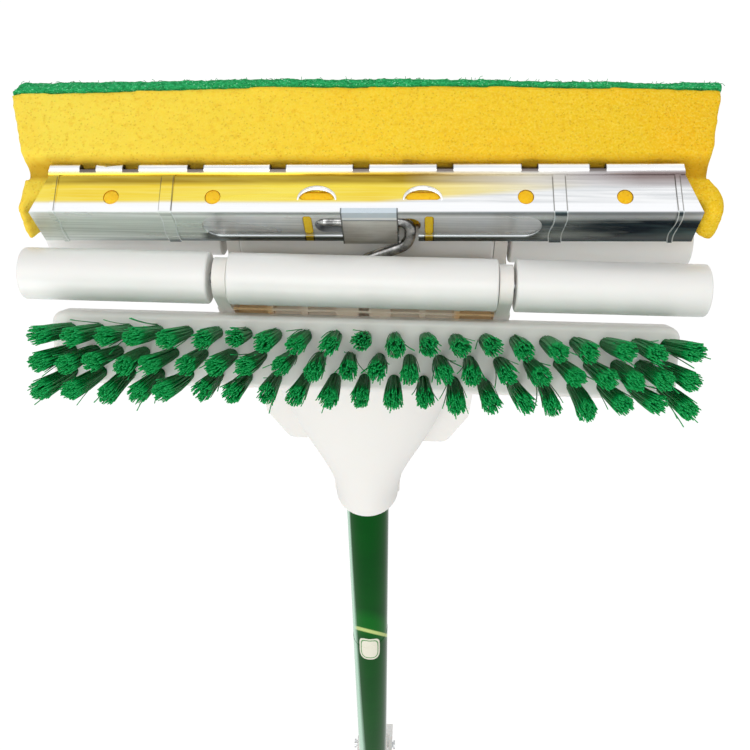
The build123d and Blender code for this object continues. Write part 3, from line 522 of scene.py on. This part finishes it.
def web_of_fibres():
    """Green scouring web: short crossing strands, pale flecks and darker felt between."""
    made, tree, shader = new_material("scouring web")
    strands = None
    for turn in (0.0, 1.05, 2.1):
        spin = tree.nodes.new("ShaderNodeMapping")
        spin.inputs["Rotation"].default_value = (0.0, turn, turn * 0.5)
        spin.inputs["Scale"].default_value = (700, 2300, 2300)
        link(tree, coordinates(tree), spin.inputs["Vector"])
        wave = noise_value(tree, spin.outputs["Vector"], 1.0, 2.0, 0.5)
        strands = wave if strands is None else math_node(tree, "MAXIMUM", strands, wave)
    colour = mix_colour(tree, map_range(tree, strands, 0.5, 0.68), (0.006, 0.25, 0.065), (0.035, 0.52, 0.17))
    flecks = noise_value(tree, coordinates(tree), 1500.0, 1.0)
    colour = mix_colour(tree, map_range(tree, flecks, 0.62, 0.74, 0.0, 0.8), colour, (0.30, 0.78, 0.50))
    link(tree, colour, shader.inputs["Base Color"])
    shader.inputs["Roughness"].default_value = 0.9
    shader.inputs["Specular IOR Level"].default_value = 0.2
    relief(tree, shader, strands, 0.7, 0.0005)
    return made


def bristle_plastic(face_at, face_normal):
    """Green filament with painted shade: dark in the depth of the tuft, brighter towards the cut ends."""
    made, tree, shader = new_material("bristle filament")
    along = node(tree, "ShaderNodeVectorMath", operation="DOT_PRODUCT")
    away = node(tree, "ShaderNodeVectorMath", operation="SUBTRACT")
    link(tree, coordinates(tree), away.inputs[0])
    away.inputs[1].default_value = face_at
    link(tree, away.outputs["Vector"], along.inputs[0])
    along.inputs[1].default_value = face_normal
    height = map_range(tree, along.outputs["Value"], 0.004, 0.026)
    strand = noise_value(tree, coordinates(tree), 1300.0, 1.0)
    colour = mix_colour(tree, height, (0.0, 0.17, 0.025), (0.0, 0.36, 0.075))
    colour = mix_colour(tree, map_range(tree, strand, 0.45, 0.72, 0.0, 0.6), colour, (0.015, 0.60, 0.19))
    link(tree, colour, shader.inputs["Base Color"])
    shader.inputs["Roughness"].default_value = 0.45
    shader.inputs["Specular IOR Level"].default_value = 0.3
    return made


def grip_rubber():
    made, tree, shader = new_material("soft grip")
    main, second = (0.004, 0.075, 0.03), (0.002, 0.05, 0.02)
    colour = place_group(tree, mottle, Main=main, Second=second, Scale=60.0, Amount=0.8)
    grain = place_group(tree, fine_grain, Scale=2600.0, Gloss_Low=0.6, Gloss_High=0.8)
    link(tree, colour.outputs["Colour"], shader.inputs["Base Color"])
    link(tree, grain.outputs["Roughness"], shader.inputs["Roughness"])
    relief(tree, shader, grain.outputs["Height"], 0.6, 0.0001)
    return made


def frame_plastic():
    """The crossbar's plastic, with painted warm shade, tan to orange-brown, inside its pockets."""
    made, tree, shader = new_material("frame plastic")
    at = node(tree, "ShaderNodeSeparateXYZ")
    link(tree, coordinates(tree), at.inputs["Vector"])
    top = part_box("rod_guide")[1].z
    # painted warm shade in the pockets under the rollers and along the strip in front of them
    inside = times(tree, map_range(tree, at.outputs["Z"], top - 0.0012, top - 0.0018),
                   between(tree, at.outputs["Y"], -0.0177, 0.014, 0.0001))
    side = math_node(tree, "ABSOLUTE", math_node(tree, "SUBTRACT", at.outputs["X"], 0.0009))
    inside = math_node(tree, "MAXIMUM", inside, map_range(tree, at.outputs["Y"], -0.0164, -0.0168))
    inside = times(tree, inside, map_range(tree, side, 0.0502, 0.0500))
    tan = mix_colour(tree, map_range(tree, side, 0.034, 0.036), (0.96, 0.84, 0.70), (0.93, 0.66, 0.36))
    colour = mix_colour(tree, inside, (0.88, 0.86, 0.82), tan)
    grain = place_group(tree, fine_grain, Scale=2200.0, Gloss_Low=0.4, Gloss_High=0.5)
    link(tree, colour, shader.inputs["Base Color"])
    link(tree, grain.outputs["Roughness"], shader.inputs["Roughness"])
    shader.inputs["Subsurface Weight"].default_value = 0.25
    shader.inputs["Subsurface Radius"].default_value = (0.004, 0.003, 0.0025)
    relief(tree, shader, grain.outputs["Height"], 0.25, 0.00002)
    return made


white_plastic = moulded_white("white moulded plastic", (0.86, 0.85, 0.82), (0.84, 0.83, 0.80), 0.36, 0.44)
roller_plastic = moulded_white("white roller plastic", (0.87, 0.87, 0.85), (0.85, 0.85, 0.83), 0.28, 0.34)
lever_plastic = moulded_white("white lever plastic", (0.82, 0.82, 0.795), (0.80, 0.80, 0.775), 0.36, 0.48)
crossbar_plastic = frame_plastic()
zinc_sheet = zinc_plated_sheet()
clip_metal = clip_sheet()
bright_steel = drawn_steel("drawn steel", (0.62, 0.63, 0.64), (0.34, 0.35, 0.36), 0.22)
hook_steel = drawn_steel("hook wire", (0.55, 0.55, 0.54), (0.08, 0.08, 0.08), 0.2)
enamel = glossy_tube("green enamel", 0.10, 0.15)
film = glossy_tube("printed film", 0.08, 0.12)
foam = open_foam()
scour_web = web_of_fibres()
rubber = grip_rubber()

finishes = {
    "front_shell": white_plastic, "rear_shell": white_plastic, "roller_frame": crossbar_plastic,
    "brush_block": white_plastic, "rod_guide": white_plastic, "lever_bracket": white_plastic,
    "end_cap": white_plastic, "rod_slider": white_plastic, "rod_coupler": white_plastic,
    "axle_caps": roller_plastic, "lever": lever_plastic,
    "clamp_channel": zinc_sheet, "clamp_clip": clip_metal,
    "hook_rod": hook_steel, "pull_rod": bright_steel, "cross_pin": bright_steel,
    "front_axle": bright_steel, "rear_axle": bright_steel, "lever_pivot": bright_steel,
    "shell_screws": bright_steel, "brush_screws": bright_steel,
    "handle_tube": enamel, "label_sleeve": film, "hand_grip": rubber,
    "sponge": foam, "scrub_pad": scour_web,
}
for row in ("front", "rear"):
    for place in ("left", "centre", "right"):
        finishes[f"{row}_roller_{place}"] = roller_plastic


def finish_with(thing, material):
    thing.data.materials.clear()
    thing.data.materials.append(material)


for name, material in finishes.items():
    finish_with(nodes[name], material)
    nodes[name].data.shade_smooth()


# ------------------------------------------------------------------ mesh helpers
def piece(name, vertices, faces, material, body, smooth=True):
    """A mesh piece in the row frame, riding on a body."""
    mesh = bpy.data.meshes.new(name)
    mesh.from_pydata([tuple(v) for v in vertices], [], [tuple(int(i) for i in f) for f in faces])
    mesh.update()
    made = bpy.data.objects.new(name, mesh)
    bpy.context.scene.collection.objects.link(made)
    mesh.materials.append(material)
    if smooth:
        mesh.shade_smooth()
    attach(made, body)
    return made


def welded_copy(cad_node):
    """A closed bmesh of a CAD node."""
    made = bmesh.new()
    made.from_mesh(nodes[cad_node].data)
    bmesh.ops.remove_doubles(made, verts=made.verts, dist=0.000004)
    return made


def remeshed(cad_node, name, voxel, smoothing):
    """Even quad mesh over a CAD node, its edges softened."""
    source = welded_copy(cad_node)
    mesh = bpy.data.meshes.new(name)
    source.to_mesh(mesh)
    source.free()
    made = bpy.data.objects.new(name, mesh)
    bpy.context.scene.collection.objects.link(made)
    even = made.modifiers.new("even", "REMESH")
    even.mode = "VOXEL"
    even.voxel_size = voxel
    soften = made.modifiers.new("soften", "SMOOTH")
    soften.factor = 0.5
    soften.iterations = smoothing
    dg = bpy.context.evaluated_depsgraph_get()
    done = bpy.data.meshes.new_from_object(made.evaluated_get(dg))
    made.modifiers.clear()
    made.data = done
    done.name = name
    return made


def roughen(thing, layers, hold=None):
    """Moves each point along its normal by layers of (amplitude mm, wavelength mm, seed)."""
    mesh = thing.data
    count = len(mesh.vertices)
    points = np.empty(count * 3, np.float32)
    mesh.vertices.foreach_get("co", points)
    points = points.reshape(-1, 3)
    normals = np.array([v.normal for v in mesh.vertices], np.float32)
    moved = np.zeros(count, np.float32)
    for amplitude, wavelength, seed in layers:
        shift = Vector((seed * 7.3, seed * 3.1, seed * 5.7))
        step = 1000.0 / wavelength
        layer = [noise.noise(Vector(p) * step + shift) for p in points.tolist()]
        moved += np.array(layer, np.float32) * amplitude
    if hold is not None:
        moved *= hold(points)
    points += normals * moved[:, None] * MM
    mesh.vertices.foreach_set("co", points.reshape(-1))
    mesh.update()


# ------------------------------------------------------------------ sponge and scouring pad
def refill_places(mesh):
    """Along, reach and rise of every point of a mesh, in millimetres."""
    points = np.empty(len(mesh.vertices) * 3)
    mesh.vertices.foreach_get("co", points)
    away = (points.reshape(-1, 3) - np.array(pin_at)) * 1000
    return [away @ np.array(direction) for direction in (pin_along, reach_along, rise_along)]


def put_back(mesh, along, reach, rise):
    away = np.outer(along, pin_along) + np.outer(reach, reach_along) + np.outer(rise, rise_along)
    mesh.vertices.foreach_set("co", (away * MM + np.array(pin_at)).astype(np.float32).reshape(-1))
    mesh.update()


def eased(mesh, along, reach, rise, weight, rounds):
    """Draws each weighted point towards the middle of its neighbours."""
    points = np.stack([along, reach, rise], axis=1)
    edges = np.empty(len(mesh.edges) * 2, np.int32)
    mesh.edges.foreach_get("vertices", edges)
    first, second = edges.reshape(-1, 2).T
    degree = np.bincount(first, minlength=len(points)) + np.bincount(second, minlength=len(points))
    for _ in range(rounds):
        total = np.zeros_like(points)
        for axis in range(3):
            total[:, axis] = np.bincount(first, points[second, axis], len(points))
            total[:, axis] += np.bincount(second, points[first, axis], len(points))
        points += weight[:, None] * (total / degree[:, None] - points)
    return points.T


def bowed(along, reach):
    """Reach of the outer part of the refill, which bulges between its ends."""
    far = np.clip((reach - 20.0) / 24.0, 0, 1)
    lift = np.interp(along, (-133, -66, -26, 2, 37, 71, 105, 131), (0, 1.2, 1.8, 1.4, 1.4, 0.5, -0.6, -0.6))
    return reach + far * lift


def sagged(along, rise):
    """Rise of the working edge: it bows up in the middle of the refill."""
    upper = np.clip(rise / 12.0, 0.0, 1.0)
    return rise + upper * 1.1 * np.cos(np.clip((along - 35.0) / 150.0, -1, 1) * math.pi / 2) - upper * 0.5


def make_sponge():
    made = remeshed("sponge", "sponge_foam", 0.0013, 3)
    along, reach, rise = refill_places(made.data)
    weight = np.clip((np.abs(along) - 115.0) / 5.0, 0, 1) * np.clip((21.0 - reach) / 4.0, 0, 1) * 0.6
    along, reach, rise = eased(made.data, along, reach, rise, weight, 16)
    # the swollen left end is drawn in under the lips and hangs out below
    left = np.clip((-along - 118.0) / 4.0, 0, 1) * np.clip((16.0 - reach) / 6.0, 0, 1)
    along = along - left * 1.7 * np.exp(-((reach - 12.0) / 4.5) ** 2)
    hang = 1.2 + 2.8 * np.clip((6.0 - rise) / 14.0, 0, 1)
    along = along - left * hang * np.clip((5.5 - reach) / 6.0, 0, 1)
    rise = rise - 3.0 * left * np.clip(-rise / 8.0, 0, 1)
    right = np.clip((along - 122.0) / 4.0, 0, 1) * np.clip((9.0 - reach) / 5.0, 0, 1)
    along = along + 1.5 * right
    rise = rise - 3.0 * right * np.clip(-rise / 8.0, 0, 1)
    along, reach, rise = eased(made.data, along, reach, rise, weight, 8)
    # face bows gently
    far = np.clip((reach - 20.0) / 24.0, 0, 1)
    rise = rise * (1 - far) + sagged(along, rise) * far
    reach = bowed(along, reach)
    put_back(made.data, along, reach, rise)
    roughen(made, ((0.45, 40.0, 1), (0.22, 9.0, 2), (0.24, 2.6, 3)))
    finish_with(made, foam)
    made.data.shade_smooth()
    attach(made, "refill")
    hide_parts("sponge")
    return made


def make_pad():
    """The pad is thickest at its left end and is rubbed thin towards the right."""
    made = remeshed("scrub_pad", "scouring_pad", 0.0011, 2)
    along, reach, rise = refill_places(made.data)
    thick = np.interp(along, (-133, -60, 0, 60, 131), (1.04, 0.84, 0.62, 0.54, 0.58))
    reach = bowed(along, 44.0 + (reach - 44.0) * thick)
    rise = sagged(along, rise)
    trimmed = np.clip((-along - 128.0) / 5.0, 0, 1) * np.clip((reach - 44.0) / 5.0, 0, 1)
    along = along + 4.2 * trimmed
    put_back(made.data, along, reach, rise)
    roughen(made, ((0.3, 30.0, 4), (0.3, 6.0, 5), (0.35, 1.8, 6)))
    finish_with(made, scour_web)
    made.data.shade_smooth()
    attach(made, "refill")
    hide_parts("scrub_pad")
    return made


make_sponge()
scouring_pad = make_pad()


def tubes(paths, radii, sides=3):
    """Vertices and faces of thin tubes: paths is (count, points, 3), radii (count, points)."""
    count, rings, _ = paths.shape
    direction = np.gradient(paths, axis=1)
    direction /= np.linalg.norm(direction, axis=2, keepdims=True)
    helper = np.where(np.abs(direction[..., :1]) < 0.8, [1.0, 0.0, 0.0], [0.0, 1.0, 0.0])
    side = np.cross(direction, helper)
    side /= np.linalg.norm(side, axis=2, keepdims=True)
    up = np.cross(direction, side)
    vertices = []
    for k in range(sides):
        angle = 2 * math.pi * k / sides
        vertices.append(paths + radii[..., None] * (side * math.cos(angle) + up * math.sin(angle)))
    vertices = np.stack(vertices, axis=2).reshape(-1, 3)
    base = (np.arange(count) * rings * sides)[:, None, None]
    ring = (np.arange(rings - 1) * sides)[None, :, None]
    k = np.arange(sides)[None, None, :]
    n = (k + 1) % sides
    low, high = base + ring, base + ring + sides
    faces = np.stack([low + k, low + n, high + n, high + k], axis=3)
    faces = faces.reshape(-1, 4).tolist()
    tips = (base[:, 0] + (rings - 1) * sides + np.arange(sides)[None, :]).tolist()
    return vertices, faces + tips


def make_pad_fibres():
    """Loose strands that stand out of the pad's faces and edges."""
    mesh = scouring_pad.data
    choice = dice.choice(len(mesh.vertices), 4200, replace=False)
    at = np.array([mesh.vertices[i].co for i in choice])
    out = np.array([mesh.vertices[i].normal for i in choice])
    drift = dice.normal(size=(len(choice), 3))
    drift -= out * (drift * out).sum(1, keepdims=True)
    drift /= np.linalg.norm(drift, axis=1, keepdims=True)
    length = dice.uniform(0.8, 2.2, (len(choice), 1)) * MM
    lift = dice.uniform(0.1, 0.3, (len(choice), 1))
    steps = []
    for t in (0.0, 0.33, 0.66, 1.0):
        stand = length * lift * math.sin(math.pi * min(t, 0.8)) - 0.0002
        steps.append(at + drift * length * t + out * stand)
    paths = np.stack(steps, axis=1)
    radii = np.full(paths.shape[:2], 0.00011)
    vertices, faces = tubes(paths, radii)
    piece("pad_fibres", vertices, faces, scour_web, "refill")


make_pad_fibres()


# ------------------------------------------------------------------ bristles
def solids_of(cad_node):
    """Points of each separate solid of a CAD node."""
    welded = welded_copy(cad_node)
    left = set(welded.verts)
    groups = []
    for seed in welded.verts:
        if seed not in left:
            continue
        left.remove(seed)
        group, stack = [seed], [seed]
        while stack:
            for edge in stack.pop().link_edges:
                for other in edge.verts:
                    if other in left:
                        left.remove(other)
                        group.append(other)
                        stack.append(other)
        groups.append(np.array([v.co for v in group]))
    welded.free()
    return groups


BRUSH_TILT = math.radians(38.0)
brush_out = np.array([0.0, -math.cos(BRUSH_TILT), math.sin(BRUSH_TILT)])
FILAMENTS = 150


def tuft_axes(cad_node):
    """Root and tip centre of each tuft."""
    axes = []
    for points in solids_of(cad_node):
        height = points @ brush_out
        tip = points[height > height.max() - 0.0012].mean(0)
        root = points[height < height.min() + 0.0003].mean(0)
        axes.append((root, tip))
    return axes


brush_rows = {}
for cad_node in ("bristles_upper_row", "bristles_middle_row", "bristles_lower_row"):
    brush_rows[cad_node] = tuft_axes(cad_node)
root_heights = [float(root @ brush_out) for axes in brush_rows.values() for root, tip in axes]
face_height = min(root_heights) + 0.004
bristle_green = bristle_plastic(tuple(brush_out * face_height), tuple(brush_out))


def make_row(cad_node):
    paths, radii = [], []
    for root, tip in brush_rows[cad_node]:
        axis = tip - root
        length = np.linalg.norm(axis)
        axis /= length
        side = np.cross(axis, [1.0, 0.0, 0.0])
        side /= np.linalg.norm(side)
        other = np.cross(axis, side)
        reach = np.sqrt(dice.uniform(0, 1, FILAMENTS))
        turn = dice.uniform(0, 2 * math.pi, FILAMENTS)
        spread = dice.normal(1.0, 0.06, FILAMENTS)
        stray = dice.uniform(0, 1, FILAMENTS) < 0.014
        spread[stray] = dice.uniform(1.4, 2.2, stray.sum())
        long = length * (1 - 0.05 * reach ** 3) + dice.normal(0, 0.0004, FILAMENTS)
        bow = dice.normal(0, 0.0003, (FILAMENTS, 2))
        lean = dice.normal(0, 0.0007, 2)
        for i in range(FILAMENTS):
            flat = side * math.cos(turn[i]) + other * math.sin(turn[i])
            bent = side * bow[i, 0] + other * bow[i, 1]
            line = []
            for t in (0.0, 0.3, 0.55, 0.8, 1.0):
                flared = 3.65 * t * (0.45 + 0.55 * t) * spread[i]
                radius = reach[i] * (2.15 * (1 - t) + flared + 1.6 * t * (1 - t)) * MM
                tipped = (side * lean[0] + other * lean[1]) * t * t
                line.append(root + axis * long[i] * t + flat * radius + bent * math.sin(math.pi * t) + tipped)
            paths.append(line)
            thick = dice.uniform(0.18, 0.25) * MM
            radii.append([thick] * 4 + [thick * 1.08])
    vertices, faces = tubes(np.array(paths), np.array(radii))
    name = cad_node.replace("bristles", "tufts")
    made = piece(name, vertices, faces, bristle_green, "handle_and_head")
    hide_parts(cad_node)
    return made


for cad_node in brush_rows:
    make_row(cad_node)


# ------------------------------------------------------------------ pressed details of the channel
def swept_band(line, widths, normals, name, material):
    """A flat band with rounded edges along a line of row points."""
    ring, vertices, faces = 8, [], []
    count = len(line)
    for i in range(count):
        before, after = line[max(i - 1, 0)], line[min(i + 1, count - 1)]
        ahead = (after - before).normalized()
        over = normals[i].normalized()
        across = ahead.cross(over).normalized()
        for k in range(ring):
            turn = 2 * math.pi * k / ring
            offset = across * math.cos(turn) * widths[i][0] + over * math.sin(turn) * widths[i][1]
            vertices.append(line[i] + offset * MM)
    for i in range(count - 1):
        for k in range(ring):
            n = (k + 1) % ring
            faces.append((i * ring + k, i * ring + n, (i + 1) * ring + n, (i + 1) * ring + k))
    faces.append(tuple(range(ring - 1, -1, -1)))
    faces.append(tuple((count - 1) * ring + k for k in range(ring)))
    return piece(name, vertices, faces, material, "refill")


def make_lance_arch(name, along):
    """Half-moon loop of sheet raised over an opening in the upper wall."""
    line, widths, normals = [], [], []
    for i in range(25):
        swing = math.pi * i / 24
        reach = 1.9 + 4.3 * math.sin(swing)
        height = 0.1 + 0.9 * math.sin(swing)
        line.append(on_refill(along + 6.9 * math.cos(swing), reach, upper_wall_rise(reach) + height))
        widths.append((0.35 + 0.55 * math.sin(swing), 0.32))
        normals.append(rise_along - reach_along * 0.5 * math.sin(swing))
    return swept_band(line, widths, normals, name, arch_steel)


arch_steel = drawn_steel("bright lance", (0.95, 0.95, 0.93), (0.62, 0.62, 0.58), 0.22)
for place, along in LANCES.items():
    make_lance_arch(f"lance_arch_{place}", along)


def make_plug(centre, first_axis, second_axis, out_axis, half_first, half_second, depth):
    """Foam that fills an opening of the channel and stands a little proud of it."""
    vertices, faces = [], []
    around, rings = 28, 5
    square = half_second - half_first
    for j in range(rings + 1):
        share = math.cos(j / rings * math.pi / 2)
        height = 0.55 * math.sin(j / rings * math.pi / 2)
        for i in range(around):
            turn = 2 * math.pi * i / around
            stretch = square * (1 if math.sin(turn) > 0 else -1)
            wobble = 1 + 0.05 * noise.noise(Vector((math.cos(turn) * 2, math.sin(turn) * 2, centre.x * 300)))
            at = first_axis * (half_first * math.cos(turn) * share * wobble)
            at = at + second_axis * ((half_first * math.sin(turn) * wobble + stretch) * share)
            vertices.append(centre + (at + out_axis * (height - 0.35)) * MM)
    for i in range(around):
        vertices.append(Vector(vertices[i]) - out_axis * depth * MM)
    low = (rings + 1) * around
    for i in range(around):
        n = (i + 1) % around
        for j in range(rings):
            faces.append((j * around + i, j * around + n, (j + 1) * around + n, (j + 1) * around + i))
        faces.append((low + i, low + n, n, i))
    return vertices, faces


def make_plugs():
    """All the foam that shows through the holes and slots of the channel."""
    wall_out = (rise_along * math.cos(FLARE) - reach_along * math.sin(FLARE)).normalized()
    wall_along = (reach_along * math.cos(FLARE) + rise_along * math.sin(FLARE)).normalized()
    plugs = []
    for along in HOLES:
        centre = on_refill(along, 3.2, upper_wall_rise(3.2))
        plugs.append(make_plug(centre, pin_along, wall_along, wall_out, 2.75, 2.75, 1.2))
    for along in BASE_SLOTS:
        centre = on_refill(along, -2.4, 0.0)
        plugs.append(make_plug(centre, pin_along, rise_along, -reach_along, 1.55, 5.55, 6.2))
    for along in LANCES.values():
        centre = on_refill(along, 3.6, upper_wall_rise(3.6))
        plugs.append(make_plug(centre, wall_along, pin_along, wall_out, 1.45, 6.3, 1.2))
    vertices, faces = [], []
    for own_vertices, own_faces in plugs:
        faces += [tuple(i + len(vertices) for i in face) for face in own_faces]
        vertices += own_vertices
    return piece("foam_plugs", vertices, faces, foam, "refill")


make_plugs()


# ------------------------------------------------------------------ studio
def seen_directly(tree):
    """One for the rays that show the pale background: camera, glossy and transmission."""
    paths = tree.nodes.new("ShaderNodeLightPath")
    glossy, through = paths.outputs["Is Glossy Ray"], paths.outputs["Is Transmission Ray"]
    mirrored = math_node(tree, "MAXIMUM", glossy, through)
    return math_node(tree, "MAXIMUM", paths.outputs["Is Camera Ray"], mirrored)


def make_floor():
    half = 6.0
    mesh = bpy.data.meshes.new("studio_floor")
    corners = [(-half, -half, 0), (half, -half, 0), (half, half, 0), (-half, half, 0)]
    mesh.from_pydata(corners, [], [(0, 1, 2, 3)])
    floor = bpy.data.objects.new("studio_floor", mesh)
    bpy.context.scene.collection.objects.link(floor)
    material = bpy.data.materials.new("studio floor")
    material.use_nodes = True
    tree = material.node_tree
    tree.nodes.clear()
    output = tree.nodes.new("ShaderNodeOutputMaterial")
    matt = tree.nodes.new("ShaderNodeBsdfDiffuse")
    matt.inputs["Color"].default_value = (0.86, 0.86, 0.86, 1)
    glow = node(tree, "ShaderNodeEmission", Color=(1, 1, 1, 1), Strength=1.15)
    share = math_node(tree, "MULTIPLY", seen_directly(tree), 0.8)
    blend = tree.nodes.new("ShaderNodeMixShader")
    link(tree, share, blend.inputs[0])
    link(tree, matt.outputs[0], blend.inputs[1])
    link(tree, glow.outputs[0], blend.inputs[2])
    link(tree, blend.outputs[0], output.inputs["Surface"])
    mesh.materials.append(material)


make_floor()


def make_world():
    world = bpy.data.worlds.new("studio")
    bpy.context.scene.world = world
    world.use_nodes = True
    tree = world.node_tree
    tree.nodes.clear()
    output = tree.nodes.new("ShaderNodeOutputWorld")
    lit = node(tree, "ShaderNodeBackground", Color=(1.0, 0.99, 0.975, 1), Strength=0.62)
    plain = node(tree, "ShaderNodeBackground", Color=(1, 1, 1, 1), Strength=1.0)
    seen = seen_directly(tree)
    blend = tree.nodes.new("ShaderNodeMixShader")
    link(tree, seen, blend.inputs[0])
    link(tree, lit.outputs[0], blend.inputs[1])
    link(tree, plain.outputs[0], blend.inputs[2])
    link(tree, blend.outputs[0], output.inputs["Surface"])


make_world()


def soft_lamp(name, at, towards, size, power, colour=(1, 1, 1)):
    lamp = bpy.data.lights.new(name, "AREA")
    lamp.shape = "RECTANGLE"
    lamp.size, lamp.size_y = size
    lamp.energy = power
    lamp.color = colour
    made = bpy.data.objects.new(name, lamp)
    bpy.context.scene.collection.objects.link(made)
    made.location = at
    made.rotation_mode = "QUATERNION"
    made.rotation_quaternion = (Vector(towards) - Vector(at)).to_track_quat("-Z", "Y")
    return made


head = Vector((0, 0, 1.25))
soft_lamp("key_lamp", (-0.75, -0.75, 2.35), head, (1.3, 0.9), 2.4, (1.0, 0.985, 0.96))
soft_lamp("front_lamp", (-0.05, -0.97, 2.11), head, (0.7, 0.7), 3.6)
soft_lamp("fill_lamp", (0.95, -0.35, 1.9), head, (0.9, 0.9), 0.8, (0.96, 0.98, 1.0))
soft_lamp("back_lamp", (0.1, 1.2, 2.2), head, (1.6, 0.7), 1.4)
soft_lamp("low_lamp", (-0.45, -1.4, 0.95), (0, 0, 1.25), (1.0, 1.0), 7.5)


# ------------------------------------------------------------------ camera
def make_camera():
    pitch, yaw, roll = math.radians(49.1617), math.radians(-2.8109), math.radians(-0.4457)
    ahead = Vector((math.sin(yaw) * math.cos(pitch), math.cos(yaw) * math.cos(pitch), -math.sin(pitch)))
    level = Vector((math.cos(yaw), -math.sin(yaw), 0))
    over = level.cross(ahead)
    right = level * math.cos(roll) + over * math.sin(roll)
    up = over * math.cos(roll) - level * math.sin(roll)
    lens = bpy.data.cameras.new("studio_camera")
    lens.sensor_width = 36.0
    lens.lens = 44.525
    lens.clip_start = 0.01
    lens.clip_end = 50.0
    camera = bpy.data.objects.new("studio_camera", lens)
    bpy.context.scene.collection.objects.link(camera)
    stand = Matrix((right, up, -ahead)).transposed().to_4x4()
    stand.translation = Vector((0.017594, -0.269053, 1.489013))
    camera.matrix_world = stand
    bpy.context.scene.camera = camera


make_camera()
bpy.context.scene.view_settings.view_transform = "Standard"
